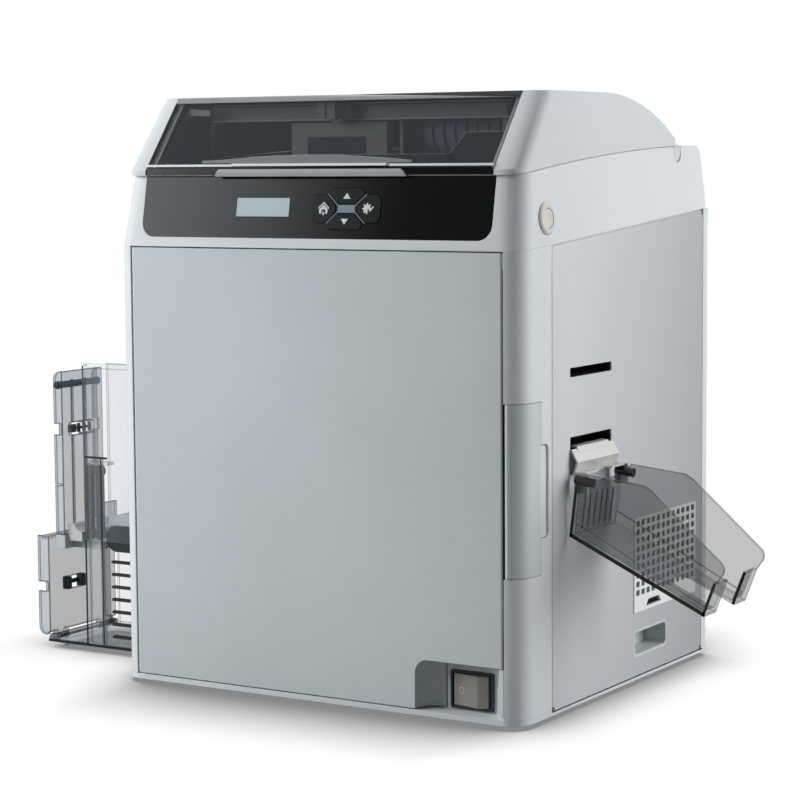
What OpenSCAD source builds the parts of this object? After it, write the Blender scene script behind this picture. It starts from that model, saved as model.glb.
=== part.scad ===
// Desktop card printer with a hinged smoked cover, a swing-out front door,
// a clear card hopper on the left and a hooked-on output tray on the right.
// The origin is the middle of the whole outline on the desk: +X right, +Y back, +Z up.
// Every sub-part is drawn from the front face of the door (y = 0), the middle of
// the body (x = 0) and the desk (z = 0), and place() moves it to the origin.

/* [Body] */
// Width of the body across the side panels
body_w = 310; // [290:1:340]
// Depth of the body from the door to the rear panel
body_d = 276; // [266:1:310]
// Radius of the four upright corners
body_r = 15; // [10:1:20]
// Radius of the case's rear corners
rear_r = 3; // [2:0.5:4]
// Height of the rubber feet
foot_h = 3; // [2:0.5:6]
// Radius of a rubber foot
foot_r = 9; // [6:0.5:12]
// Thickness of the base plate
base_h = 3.5; // [3:0.5:6]
// Thickness of the moulded walls
wall = 2.5; // [2:0.1:3.5]
// Thickness of the steel side panels
sheet = 1.2; // [0.8:0.1:2]
// Height of the front seam above the desk
seam_h = 297; // [290:1:320]
// Rise of the seam towards the back in degrees
seam_rise = 4.39; // [2:0.1:6]
// Width of a corner column on the front
column_w = 12.5; // [10:0.5:18]
// Depth of a corner column along the side
column_d = 40; // [36:1:50]
// Depth of the rear panel with its returns
post_d = 9.6; // [8:0.2:14]
// Gap between outer panels
seam_gap = 0.8; // [0.4:0.1:1.2]

/* [Front door] */
// Depth of the ribs behind the door skin
door_d = 10; // [8:0.5:14]
// Thickness of the door skin
door_skin = 3; // [2:0.1:4]
// Radius of the hinge pins
pin_r = 1.6; // [1.2:0.1:2]
// Running clearance of every pin on its radius
pin_fit = 0.05; // [0.02:0.01:0.1]
// Height of the switch recess above the base
switch_h = 31.8; // [28:0.2:40]
// Width of the switch recess up to the door edge
switch_w = 63.5; // [58:0.5:80]
// Depth of the switch recess
switch_d = 15; // [12:0.5:20]

/* [Door handle] */
// Height of the handle
handle_h = 108; // [80:1:140]
// Bottom of the handle above the desk
handle_z = 95.6; // [80:0.2:120]
// How far the handle reaches along the side
handle_reach = 25.5; // [20:0.5:30]
// Height of the finger recess
grip_h = 59; // [40:1:70]
// Width of the finger recess
grip_w = 9.9; // [8:0.1:11]
// Depth of the finger recess
grip_d = 9; // [6:0.5:10]

/* [Upper housing] */
// Lean of the control face in degrees
front_lean = 10.5; // [6:0.5:14]
// Taper of the sides in degrees
side_taper = 4.4; // [2:0.2:6]
// Height of the crown of the housing above the front seam
crown_h = 65; // [60:0.5:75]
// Radius of the arched top edge
crown_r = 2307; // [1800:10:3000]
// Distance of the crown's peak from the front
crown_y = 300; // [290:1:310]
// Lean of the rear face of the housing in degrees
rear_lean = 8; // [4:0.5:10]

/* [Controls] */
// Bare margin between the side of the case and the control panel
panel_margin = 21.3; // [17:0.1:35]
// Height of the control panel along the face
panel_h = 40.6; // [36:0.2:41]
// Thickness of the control panel
panel_t = 2.5; // [2:0.1:3]
// Width of the display
display_w = 41.9; // [36:0.1:50]
// Height of the display
display_h = 12.8; // [10:0.1:16]
// Distance of the display's middle left of the middle
display_x = 37.5; // [30:0.5:60]
// Distance of the key pad's middle right of the middle
pad_x = 26.8; // [20:0.2:60]
// Width of the four-way key pad
pad_w = 51.6; // [46:0.2:60]
// Height of the four-way key pad
pad_h = 27.4; // [24:0.2:30]
// Gap round a key
key_gap = 0.3; // [0.2:0.05:0.5]
// Height of the cover release button above the seam
release_rise = 19.6; // [16:0.2:24]
// Distance of the cover release button from the front
release_y = 36; // [30:0.5:44]
// Radius of the cover release button
button_r = 6.1; // [5:0.2:9]
// Radius of the ring round the release button
ring_r = 10.3; // [9:0.1:14]

/* [Cover] */
// Height of the cover's flat roof above the front seam
cover_rise = 98.6; // [92:0.2:110]
// Lean of the window in degrees
window_lean = 38.1; // [30:0.1:45]
// Distance of the window's edge inside the panel's edge
window_inset = 0.7; // [0:0.1:3]
// Distance of the cover's hinge knuckles inside the case's sides
hinge_in = 35.5; // [30:0.5:45]
// Thickness of the window
window_t = 3; // [2:0.1:4]
// Wall of the cover
cover_wall = 3; // [2:0.1:4]
// Distance of the cover's rear edge from the front
cover_d = 234.3; // [225:0.1:240]
// Width of the grip lip
grip_lip_w = 145; // [100:1:180]

/* [Card path] */
// Middle of the card path from the front
card_y = 93.8; // [88:0.2:100]
// Width of a card slot
slot_w = 58.2; // [56:0.2:62]
// Height of the upper card slot
slot_h = 6; // [4:0.5:9]
// Height of the upper slot's middle
upper_slot_z = 218.6; // [205:0.2:235]
// Height of the lower slot's middle
lower_slot_z = 173.3; // [160:0.2:190]
// Height of the lower card slot
lower_slot_h = 8.4; // [6:0.2:10]

/* [Output tray] */
// Outer width of the tray
tray_w = 64; // [62:0.5:72]
// Wall of the tray
tray_wall = 2; // [1.6:0.1:3]
// Length of the tray floor
tray_len = 102.4; // [90:0.2:120]
// Slope of the tray floor in degrees
tray_slope = 17.85; // [12:0.5:24]
// Sag of the hooked-on tray in degrees
tray_tilt = 7; // [4:0.5:8]
// Height of the tray's back wall
tray_h = 41.5; // [36:0.5:48]
// Thickness of the bracket sheet
bracket_t = 1.2; // [0.8:0.1:1.6]

/* [Hopper] */
// Front of the hopper from the door
hopper_y = 62; // [58:0.5:66]
// Outer width of the hopper
hopper_w = 63.5; // [62:0.5:72]
// Height of the hopper's top above the desk
hopper_top = 208; // [190:1:230]
// Bottom of the hopper above the desk
hopper_z = 4.5; // [4:0.5:8]
// Length of the card stack space
stack_l = 91; // [88:0.5:100]
// Height of the deck between tower and box
deck_z = 82; // [70:0.5:90]
// Wall of the clear hopper
hopper_wall = 2.5; // [2:0.1:3]
// Length of the hopper's front wall
hopper_front_l = 74.5; // [60:0.5:80]
// How far the box door stands out past the tower
box_out = 18; // [14:0.5:24]

/* [Grilles] */
// Distance of the vent grille's rear edge from the back
grille_back = 21.2; // [18:0.2:30]
// Columns of holes in the side grille
grille_cols = 12; // [6:1:12]
// Rows of holes in the side grille
grille_rows = 9; // [5:1:9]
// Pitch of the columns
grille_px = 7.9; // [7:0.1:8.2]
// Pitch of the rows
grille_pz = 5.9; // [5:0.1:6]

/* [Hidden] */

$fn = 48;
eps = 0.01;
tiny = 0.3;                 // gap between pieces of different bodies
half_w = body_w / 2;
base_top = foot_h + base_h;
door_half = half_w - column_w - seam_gap;
panel_w = 2 * (half_w - panel_margin);
window_w = panel_w - 2 * window_inset;
cover_top = seam_h + cover_rise;
hinge_x = half_w - hinge_in;
foot_x = half_w - 25;
foot_y = 26;
door_z0 = base_top + seam_gap;
door_z1 = seam_h - seam_gap;
crown_z = seam_h + crown_h;
column_x = half_w - column_w;
rear_y = body_d - post_d;
inner_x = half_w - sheet;
panel_z0 = base_top - 1.3;

// heights of the seam and of the arched top at a distance y from the front
function seam(y) = seam_h + tan(seam_rise) * y;
function crown(y) = crown_z - pow(crown_y - y, 2) / (2 * crown_r);
face_y = tan(front_lean) * (crown(9) - seam_h);
face_len = face_y / sin(front_lean);

// tray: points of the side wall in the tray's own frame (x out, z up)
tray_x0 = half_w + 1.3;
tray_z0 = lower_slot_z - 58.4;
tray_b = [tray_len * cos(tray_slope), -tray_len * sin(tray_slope)];
nose_r = 6.1;
nose = [tray_b[0] + 3.35, tray_b[1] + 30.6];
lip_top = [tray_b[0] + 5.5, tray_b[1] + 22];
tray_end_x = tray_x0 + nose[0] * cos(tray_tilt) + nose[1] * sin(tray_tilt) + nose_r;

// hopper: distances to the left of the body
tower_x = half_w + stack_l + 9;      // inside of the tower's end wall
box_x = tower_x + box_out;           // outside of the box door
flange_out = 8;
hopper_y1 = hopper_y + hopper_w;
tower_y1 = hopper_y + 46;            // back of the narrow tower
box_y1 = hopper_y1 + 14;             // back of the lower box
guide_d = 4.6;                       // depth of the lever's channel
guide_top = deck_z + 57;
hopper_end_x = box_x + flange_out + hopper_wall / 2;
shift_x = (hopper_end_x - tray_end_x) / 2;

module place() {
  translate([shift_x, -body_d / 2, 0])
    children();
}

module block(x0, x1, y0, y1, z0, z1) {
  translate([x0, y0, z0])
    cube([x1 - x0, y1 - y0, z1 - z0]);
}

module rod_x(x0, x1, y, z, r) {
  translate([x0, y, z])
    rotate([0, 90, 0])
      cylinder(h = x1 - x0, r = r);
}

module rod_y(y0, y1, x, z, r) {
  translate([x, y0, z])
    rotate([-90, 0, 0])
      cylinder(h = y1 - y0, r = r);
}

module rod_z(z0, z1, x, y, r) {
  translate([x, y, z0])
    cylinder(h = z1 - z0, r = r);
}

// box with its four upright edges rounded
module upright(x0, x1, y0, y1, z0, z1, r) {
  block(x0 + r, x1 - r, y0, y1, z0, z1);
  block(x0, x1, y0 + r, y1 - r, z0, z1);
  for (x = [x0 + r, x1 - r], y = [y0 + r, y1 - r])
    rod_z(z0, z1, x, y, r);
}

// outline of the case: round front corners, tight rear ones
module case_block(z0, z1) {
  block(-half_w + body_r, half_w - body_r, 0, body_d, z0, z1);
  block(-half_w + rear_r, half_w - rear_r, body_r, body_d, z0, z1);
  block(-half_w, half_w, body_r, body_d - rear_r, z0, z1);
  for (s = [-1, 1]) {
    rod_z(z0, z1, s * (half_w - body_r), body_r, body_r);
    rod_z(z0, z1, s * (half_w - rear_r), body_d - rear_r, rear_r);
  }
}

// box with its four edges along X rounded
module round_x(x0, x1, y0, y1, z0, z1, r) {
  block(x0, x1, y0 + r, y1 - r, z0, z1);
  block(x0, x1, y0, y1, z0 + r, z1 - r);
  for (y = [y0 + r, y1 - r], z = [z0 + r, z1 - r])
    rod_x(x0, x1, y, z, r);
}

// box with its four edges along Y rounded
module round_y(x0, x1, y0, y1, z0, z1, r) {
  block(x0 + r, x1 - r, y0, y1, z0, z1);
  block(x0, x1, y0, y1, z0 + r, z1 - r);
  for (x = [x0 + r, x1 - r], z = [z0 + r, z1 - r])
    rod_y(y0, y1, x, z, r);
}

// extrude a drawing of (y, z) points along X
module along_x(x0, x1) {
  translate([x0, 0, 0])
    rotate([90, 0, 90])
      linear_extrude(height = x1 - x0)
        children();
}

// extrude a drawing of (x, z) points along Y
module along_y(y0, y1) {
  translate([0, y1, 0])
    rotate([90, 0, 0])
      linear_extrude(height = y1 - y0)
        children();
}

// bent strip of constant thickness through a list of points
module strip(pts, t) {
  n = len(pts) - 1;
  polygon(concat([for (i = [0 : n]) mitre(pts, i, t / 2)],
    [for (i = [n : -1 : 0]) mitre(pts, i, -t / 2)]));
}

function unit(v) = v / norm(v);
function mitre(pts, i, h) =
  let (a = unit(pts[max(i, 1)] - pts[max(i, 1) - 1]))
  let (b = i < len(pts) - 1 ? unit(pts[i + 1] - pts[i]) : a)
  let (n = unit([-a[1] - b[1], a[0] + b[0]]))
  pts[i] + n * h / (n * [-b[1], b[0]]);

module under_seam() {
  along_x(-half_w - 1, half_w + 1)
    polygon([[-1, 0], [body_d + 1, 0], [body_d + 1, seam(body_d + 1)], [-1, seam(-1)]]);
}

// frame of the leaning control face: x right, y up the face, z outwards
module on_face() {
  translate([0, 0, seam_h])
    rotate([90 - front_lean, 0, 0])
      children();
}

// frame of the right flank of the upper housing at (y, z): z outwards
module on_flank(y, z) {
  translate([half_w - (z - seam_h) * tan(side_taper), y, z])
    rotate([0, 90 - side_taper, 0])
      children();
}

module both_sides() {
  children();
  mirror([1, 0, 0])
    children();
}

// ---------------------------------------------------------------- base and skin
module base_tray() place() color([0.24, 0.26, 0.27]) {
  difference() {
    union() {
      case_block(foot_h, base_top);
      for (x = [-90 : 60 : 30])
        block(x - 1.2, x + 1.2, 16, 38, base_top - eps, base_top + 5);
      block(-110, 70, 36, 38, base_top - eps, base_top + 8);
    }
    for (s = [-1, 1])
      block(s * half_w - sheet, s * half_w + sheet, column_d, rear_y, panel_z0, base_top + 1);
    rod_z(foot_h + 0.8, base_top + 1, -door_half + 4, 3, pin_r);
    for (x = [-foot_x, foot_x], y = [foot_y, body_d - foot_y])
      rod_z(foot_h - 1, foot_h + 2, x, y, 4);
    for (i = [0 : 7])
      round_z_slot(-52 + 15 * i, 70, 120);
  }
}

module round_z_slot(x, y0, y1) {
  block(x - 2, x + 2, y0, y1, foot_h - 1, base_top + 1);
  for (y = [y0, y1])
    rod_z(foot_h - 1, base_top + 1, x, y, 2);
}

module rubber_feet() place() color([0.1, 0.1, 0.1]) {
  for (x = [-foot_x, foot_x], y = [foot_y, body_d - foot_y]) {
    rod_z(0, foot_h, x, y, foot_r);
    rod_z(foot_h - eps, foot_h + 2, x, y, 4);
  }
}

module column_body() {
  difference() {
    intersection() {
      upright(-half_w, half_w, 0, body_d, base_top, seam_h + 4, body_r);
      block(column_x, half_w + 1, -1, column_d, base_top, seam_h + 4);
      under_seam();
    }
    for (q = [[base_top - 1, handle_z - 8], [handle_z + handle_h + 8, seam_h + 5]])
      intersection() {
        upright(-half_w + wall, half_w - wall, wall, body_d - wall, q[0], q[1], body_r - wall);
        block(column_x + 3, half_w, 4.5, column_d + 1, q[0], q[1]);
      }
  }
  block(half_w - 9, half_w - wall + eps, column_d - 2, column_d, base_top, seam_h);
}

module left_column() place() color([0.62, 0.66, 0.68])
  mirror([1, 0, 0])
    column_body();

handle_t = 4;
handle_px = column_x + 2.1;
handle_py = 2.3;
handle_kr = 2;

module right_column() place() color([0.62, 0.66, 0.68]) {
  difference() {
    column_body();
    // seat of the handle
    difference() {
      block(column_x - 1, half_w + 1, -1, handle_reach + tiny, handle_z - tiny,
        handle_z + handle_h + tiny);
      handle_core(handle_t + 0.6);
    }
    // finger recess behind the handle
    round_x(half_w - grip_d, half_w + 1, handle_reach - 6, handle_reach + grip_w,
      handle_z + 22.4, handle_z + 22.4 + grip_h, 4);
    for (z = [handle_z - 6, handle_z + handle_h - eps])
      rod_z(z, z + 6, handle_px, handle_py, 1);
  }
}

// what is left of the column's corner behind a skin of thickness t
module handle_core(t) {
  upright(-half_w + t, half_w - t, t, body_d - t, handle_z - 1, handle_z + handle_h + 1,
    body_r - t);
}

module door_handle() place() color([0.74, 0.78, 0.8]) {
  difference() {
    union() {
      difference() {
        intersection() {
          upright(-half_w, half_w, 0, body_d, handle_z, handle_z + handle_h, body_r);
          block(handle_px, half_w + 1, -1, handle_reach, handle_z, handle_z + handle_h);
        }
        handle_core(handle_t);
      }
      rod_z(handle_z, handle_z + handle_h, handle_px, handle_py, handle_kr);
    }
    for (z = [handle_z - 1, handle_z + handle_h - 10])
      rod_z(z, z + 11, handle_px, handle_py, 1 + pin_fit);
    // thumb groove along the rear edge
    rod_z(handle_z + 22, handle_z + 82, half_w - handle_t - 1.2, handle_reach, 2.4);
  }
}

module handle_pins() place() color([0.7, 0.7, 0.72])
  for (z = [handle_z - 6, handle_z + handle_h - 9.5])
    rod_z(z, z + 15.5, handle_px, handle_py, 1);

// steel skin of one flank with its returns
module side_skin() {
  y0 = column_d + seam_gap * 0.7;
  y1 = rear_y - seam_gap * 0.7;
  along_x(inner_x, half_w)
    polygon([[y0, panel_z0 + 3], [y0 + 3, panel_z0 + 3], [y0 + 3, panel_z0], [y1 - 3, panel_z0],
      [y1 - 3, panel_z0 + 3], [y1, panel_z0 + 3], [y1, seam(y1) - seam_gap - 3],
      [y1 - 2.5, seam(y1) - seam_gap - 3], [y1 - 2.5, seam(y1 - 2.5) - seam_gap],
      [y0, seam(y0) - seam_gap]]);
  along_x(half_w - 9, inner_x + eps)
    polygon([[column_d + 2, seam(column_d + 2) - 3], [rear_y - 2, seam(rear_y - 2) - 3],
      [rear_y - 2, seam(rear_y - 2)], [column_d + 2, seam(column_d + 2)]]);
  for (y = [column_d, rear_y - sheet])
    block(half_w - 9, inner_x + eps, y, y + sheet, 12, seam(column_d) - 6);
}

grille_len = 97.9;
grille_y = body_d - grille_back - grille_len;
grille_z = 49.1;
grille_h = 64.1;
cup_y = grille_y;
cup_len = 52.3;
cup_z = 18.6;
cup_h = 18.7;

module right_side_panel() place() color([0.76, 0.78, 0.79]) {
  difference() {
    side_skin();
    for (q = [[upper_slot_z, slot_h], [lower_slot_z, lower_slot_h]])
      round_x(inner_x - 1, half_w + 1, card_y - slot_w / 2, card_y + slot_w / 2,
        q[0] - q[1] / 2, q[0] + q[1] / 2, 0.8);
    block(inner_x - 1, half_w + 1, grille_y, grille_y + grille_len, grille_z, grille_z + grille_h);
    round_x(inner_x - 1, half_w + 1, cup_y, cup_y + cup_len, cup_z, cup_z + cup_h, 5);
  }
}

feed_z = 100;

module left_side_panel() place() color([0.76, 0.78, 0.79]) {
  difference() {
    mirror([1, 0, 0])
      side_skin();
    round_x(-half_w - 1, -inner_x + 1, card_y - slot_w / 2, card_y + slot_w / 2,
      feed_z, feed_z + 5, 2.4);
    round_x(-half_w - 1, -inner_x + 1, cup_y, cup_y + cup_len, cup_z, cup_z + cup_h, 5);
    for (i = [0 : 9])
      round_x(-half_w - 1, -inner_x + 1, grille_y + 2 + 9.6 * i, grille_y + 6 + 9.6 * i,
        grille_z, grille_z + grille_h, 1.9);
  }
}

inlet_x = 96;
inlet_z = 30;
fan_x = -88;
fan_z = 214;
fan_w = 60;
port_z = 118;

module rear_panel() place() color([0.62, 0.66, 0.68]) {
  difference() {
    union() {
      difference() {
        intersection() {
          case_block(base_top, seam(body_d) + 2);
          block(-half_w - 1, half_w + 1, rear_y, body_d + 1, base_top, seam(body_d) + 2);
          under_seam();
        }
        block(-half_w + 6, half_w - 6, rear_y - 1, body_d - wall, base_top - 1, seam(body_d) + 3);
      }
      // pillars of the main board
      for (x = [-44, 44], z = [60, 150])
        rod_y(rear_y - 5, body_d - 1, x, z, 3);
    }
    // seat and hole of the inlet
    round_y(inlet_x - 25, inlet_x + 25, body_d - 1.5, body_d + 1, inlet_z - 12, inlet_z + 12, 3);
    block(inlet_x - 14, inlet_x + 14, rear_y, body_d + 1, inlet_z - 10.2, inlet_z + 10.2);
    // ports
    block(-14, -1, rear_y, body_d + 1, port_z - 6, port_z + 6);
    block(10, 26, rear_y, body_d + 1, port_z - 7, port_z + 7);
    // fan slots
    for (k = [-5 : 5]) {
      h = sqrt(pow(fan_w / 2 - 3, 2) - pow(k * 5, 2));
      block(fan_x + k * 5 - 1.5, fan_x + k * 5 + 1.5, rear_y, body_d + 1, fan_z - h, fan_z + h);
    }
    // louvres low on the panel
    for (i = [0 : 6])
      round_y(-130, -60, rear_y, body_d + 1, 40 + 8 * i, 43.2 + 8 * i, 1.5);
  }
}

module vent_grille() place() color([0.8, 0.82, 0.83]) {
  hole_y = 5;
  hole_z = 3.9;
  tab_y = grille_y + 30;
  y0 = grille_y + (grille_len - (grille_cols - 1) * grille_px) / 2;
  z0 = grille_z + grille_h - 3.8 - (grille_rows - 1) * grille_pz;
  difference() {
    union() {
      round_x(inner_x, half_w + 0.6, grille_y, grille_y + grille_len, grille_z,
        grille_z + grille_h, 1);
      block(inner_x, half_w, grille_y, grille_y + grille_len, grille_z, grille_z + grille_h);
      // rim behind the steel
      difference() {
        block(inner_x - 1.5, inner_x, grille_y - 3, grille_y + grille_len + 3, grille_z - 3,
          grille_z + grille_h + 3);
        block(inner_x - 2, inner_x + 1, grille_y + 2, grille_y + grille_len - 2, grille_z + 2,
          grille_z + grille_h - 2);
      }
    }
    for (i = [0 : grille_cols - 1], j = [0 : grille_rows - 1])
      block(inner_x - 1, half_w + 1, y0 + i * grille_px - hole_y / 2,
        y0 + i * grille_px + hole_y / 2, z0 + j * grille_pz - hole_z / 2,
        z0 + j * grille_pz + hole_z / 2);
    // finger notch of the clip
    along_x(half_w - 1.3, half_w + 1)
      polygon([[tab_y - 12, grille_z + 2.4], [tab_y + 12, grille_z + 2.4],
        [tab_y + 8, grille_z + 6.8], [tab_y - 8, grille_z + 6.8]]);
  }
}

module carry_cups() place() color([0.45, 0.47, 0.48])
  both_sides()
    difference() {
      union() {
        round_x(half_w - 18, half_w, cup_y, cup_y + cup_len, cup_z, cup_z + cup_h, 5);
        round_x(inner_x - 1.5, inner_x, cup_y - 3, cup_y + cup_len + 3, cup_z - 3,
          cup_z + cup_h + 3, 6);
      }
      round_x(half_w - 16.2, half_w + 1, cup_y + 1.8, cup_y + cup_len - 1.8, cup_z + 1.8,
        cup_z + cup_h - 1.8, 3.6);
    }

// ---------------------------------------------------------------- upper housing
module slab(hw, y0, y1, z, r, rear) {
  for (s = [-1, 1]) {
    translate([s * (hw - r), y0 + r, z])
      cylinder(h = eps, r = r, $fn = 32);
    translate([s * (hw - rear), y1 - rear, z])
      cylinder(h = eps, r = rear, $fn = 32);
  }
}

// tapered block of the upper housing, moved in by s at the sides and f at the front
module housing_block(s, f, drop) {
  zt = crown_z + 6;
  hull() {
    slab(half_w - s + drop * tan(side_taper), f - drop * tan(front_lean), body_d - s, seam_h - drop,
      body_r - s, max(0.6, rear_r - s));
    slab(half_w - s - (zt - seam_h) * tan(side_taper), f + (zt - seam_h) * tan(front_lean),
      body_d - s, zt, body_r - s, max(0.6, rear_r - s));
  }
}

module housing_profile(t) {
  yr = body_d - 11;
  step = (yr - face_y) / 16;
  polygon(concat(
    [[-4, (t > 0 ? seam_h - 3 : seam(-4))], [-4, crown(face_y) - t]],
    [for (i = [0 : 16]) [face_y + i * step, crown(face_y + i * step) - t]],
    [[body_d - 6.5 - t, crown(yr) - 3.8 - t], [body_d - 0.8 - t, seam(body_d)],
     [body_d - 0.8 - t, (t > 0 ? seam_h - 3 : seam(body_d))]]));
}

face_wall = 6;
hinge_y = cover_d - 2.3;
hinge_z = crown(cover_d) - 4.6;
trough_r = 6.2;
pad_y = 25.9;
bar_z = hinge_z - trough_r - 3;

module upper_housing() place() color([0.82, 0.85, 0.86]) {
  difference() {
    union() {
      difference() {
        housing_outer();
        intersection() {
          housing_block(wall, face_wall / cos(front_lean), 4);
          along_x(-half_w, half_w)
            housing_profile(wall);
        }
        // well for the mechanism under the cover
        upright(-137, 137, 20, 214, seam_h + 33, crown_z + 5, 6);
      }
      intersection() {
        housing_outer();
        block(-half_w, half_w, hinge_y - 11, hinge_y + 11, bar_z, crown_z);
      }
    }
    // hinge trough
    difference() {
      union() {
        rod_x(-half_w - 1, half_w + 1, hinge_y, hinge_z, trough_r);
        along_x(-half_w - 1, half_w + 1)
          polygon([[hinge_y, hinge_z], [hinge_y + 5.4, hinge_z + 2.4],
            [hinge_y + 9.8, hinge_z + 5.2], [hinge_y, hinge_z + 6.4]]);
      }
      for (s = [-1, 1], x = [hinge_x - 17.5, hinge_x + 13.5])
        block(s * (x + 2) - 2, s * (x + 2) + 2, hinge_y - 3.4, hinge_y + 3.4, bar_z, hinge_z);
      for (s = [-1, 1], x = [hinge_x - 17.5, hinge_x + 13.5])
        rod_x(s * (x + 2) - 2, s * (x + 2) + 2, hinge_y, hinge_z, 3.6);
    }
    for (s = [-1, 1])
      rod_x(s * hinge_x - 17.5, s * hinge_x + 17.5, hinge_y, hinge_z, pin_r);
    // seat of the control panel, hole behind the keys and the display
    on_face() {
      panel_shape(-panel_t, 1);
      block(pad_x - 28, pad_x + 28, pad_y - 15, pad_y + 15, -face_wall - 2, 0);
      block(-display_x - 18, -display_x + 18, pad_y - 5, pad_y + 6, -face_wall - 2, 0);
    }
    // hole of the release button
    on_flank(release_y, seam_h + release_rise)
      translate([0, 0, -8])
        cylinder(h = 12, r = ring_r);
    rod_z(seam_h - 1, seam_h + 7, -door_half + 4, 3, pin_r);
  }
}

module housing_outer() {
  intersection() {
    housing_block(0, 0, 0);
    along_x(-half_w - 1, half_w + 1)
      housing_profile(0);
  }
}

panel_y0 = 6.5;

// outline of the control panel between two heights over the face
module panel_shape(z0, z1) {
  r = 10;
  w = panel_w / 2;
  block(-w, w, panel_y0 + r, panel_y0 + panel_h, z0, z1);
  block(-w + r, w - r, panel_y0, panel_y0 + r + eps, z0, z1);
  for (s = [-1, 1])
    rod_z(z0, z1, s * (w - r), panel_y0 + r, r);
}

// key outlines about the middle of the pad, grown by g
module up_shape(g) {
  w = pad_w / 2 - 14.7;
  h = pad_h / 2 - 0.5;
  polygon([[-w - g / 2, h + g], [w + g / 2, h + g], [w + 2.2 + 1.3 * g, 9.4],
    [6.2 + g, 3.2 - g], [-6.2 - g, 3.2 - g], [-w - 2.2 - 1.3 * g, 9.4]]);
}

module home_shape(g) {
  w = pad_w / 2;
  polygon([[-w - g, 5.8 + g / 2], [-w + 3 - g / 2, 9 + g], [-15.4 + 0.3 * g, 9 + g],
    [-8.2 + g, 2.6 + 0.7 * g], [-8.2 + g, -2.6 - 0.7 * g], [-15.4 + 0.3 * g, -9 - g],
    [-w + 3 - g / 2, -9 - g], [-w - g, -5.8 - g / 2]]);
}

// key k (0 up, 1 down, 2 home, 3 confirm) grown by g between two heights over the face
module key_at(k, g, z0, z1) {
  translate([pad_x, pad_y, z0])
    linear_extrude(height = z1 - z0) {
      if (k == 0) up_shape(g);
      if (k == 1) mirror([0, 1]) up_shape(g);
      if (k == 2) home_shape(g);
      if (k == 3) mirror([1, 0]) home_shape(g);
    }
}

module key_body(k) {
  on_face() {
    key_at(k, 0, -panel_t - key_gap - 0.1, 0.5);
    key_at(k, 0.6, -panel_t - 1.5, -panel_t - key_gap);
  }
}

module up_key() place() color([0.07, 0.08, 0.08]) key_body(0);
module down_key() place() color([0.07, 0.08, 0.08]) key_body(1);
module home_key() place() color([0.07, 0.08, 0.08]) key_body(2);
module confirm_key() place() color([0.07, 0.08, 0.08]) key_body(3);

module light_shape() {
  square([pad_w / 4, 5], center = true);
  for (a = [-1, 1], b = [-1, 1])
    polygon([[a * 5.8, b * 2.3], [a * 6.98, b * 3.05], [a * 14.28, b * 9.57],
      [a * 14.72, b * 9.07], [a * 7.42, b * 2.6], [a * 6.2, b * 1.2]]);
}

module display_block(z0, z1, in) {
  block(-display_x - display_w / 2 + in, -display_x + display_w / 2 - in,
    pad_y + 0.8 - display_h / 2 + in, pad_y + 0.8 + display_h / 2 - in, z0, z1);
}

module control_panel() place() color([0.05, 0.06, 0.06])
  on_face()
    difference() {
      panel_shape(-panel_t, 0);
      display_block(-1.5, 1, 0);
      display_block(-panel_t - 1, 0, 2.5);
      for (k = [0 : 3])
        key_at(k, key_gap, -panel_t - 1, 1);
      translate([pad_x, pad_y, -1])
        linear_extrude(height = 2)
          light_shape();
    }

module display_window() place() color([0.65, 0.73, 0.75])
  on_face()
    display_block(-1.5, 0, 0);

module key_light_bar() place() color([0.5, 0.56, 0.64])
  on_face()
    translate([pad_x, pad_y, -1])
      linear_extrude(height = 1.1)
        light_shape();

module control_board() place() color([0.08, 0.3, 0.16]) {
  on_face() {
    block(-72, 66, 8, 44, -face_wall - 1.6, -face_wall);
    for (p = [[0, 8.5], [0, -8.5], [-17, 0], [17, 0]])
      rod_z(-face_wall - eps, -face_wall + 0.7, pad_x + p[0], pad_y + p[1], 2.2);
    block(-display_x - 16, -display_x + 16, pad_y - 3.6, pad_y + 5, -face_wall - eps, -2.6);
    block(40, 58, 12, 18, -face_wall - 6, -face_wall - 1.6);
  }
}

module release_ring() place() color([0.8, 0.8, 0.79])
  on_flank(release_y, seam_h + release_rise)
    difference() {
      union() {
        translate([0, 0, -8])
          cylinder(h = 8.8, r = ring_r);
        translate([0, 0, 0.8 - eps])
          cylinder(h = 0.9, r1 = ring_r, r2 = ring_r - 1.4);
      }
      translate([0, 0, -5.8])
        cylinder(h = 8, r = button_r + tiny);
      translate([0, 0, -9])
        cylinder(h = 6, r = 3 + pin_fit);
    }

module release_button() place() color([0.8, 0.8, 0.78])
  on_flank(release_y, seam_h + release_rise)
    difference() {
      union() {
        translate([0, 0, -3])
          cylinder(h = 4.4, r = button_r);
        translate([0, 0, -12])
          cylinder(h = 9.5, r = 3);
      }
      translate([0, 0, 22])
        sphere(r = 21, $fn = 64);
    }

// ---------------------------------------------------------------- front door and switch
cove_x = door_half - switch_w + switch_d;
cove_top = door_z0 + switch_h;
door_block_x = door_half - 4.5;

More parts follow.
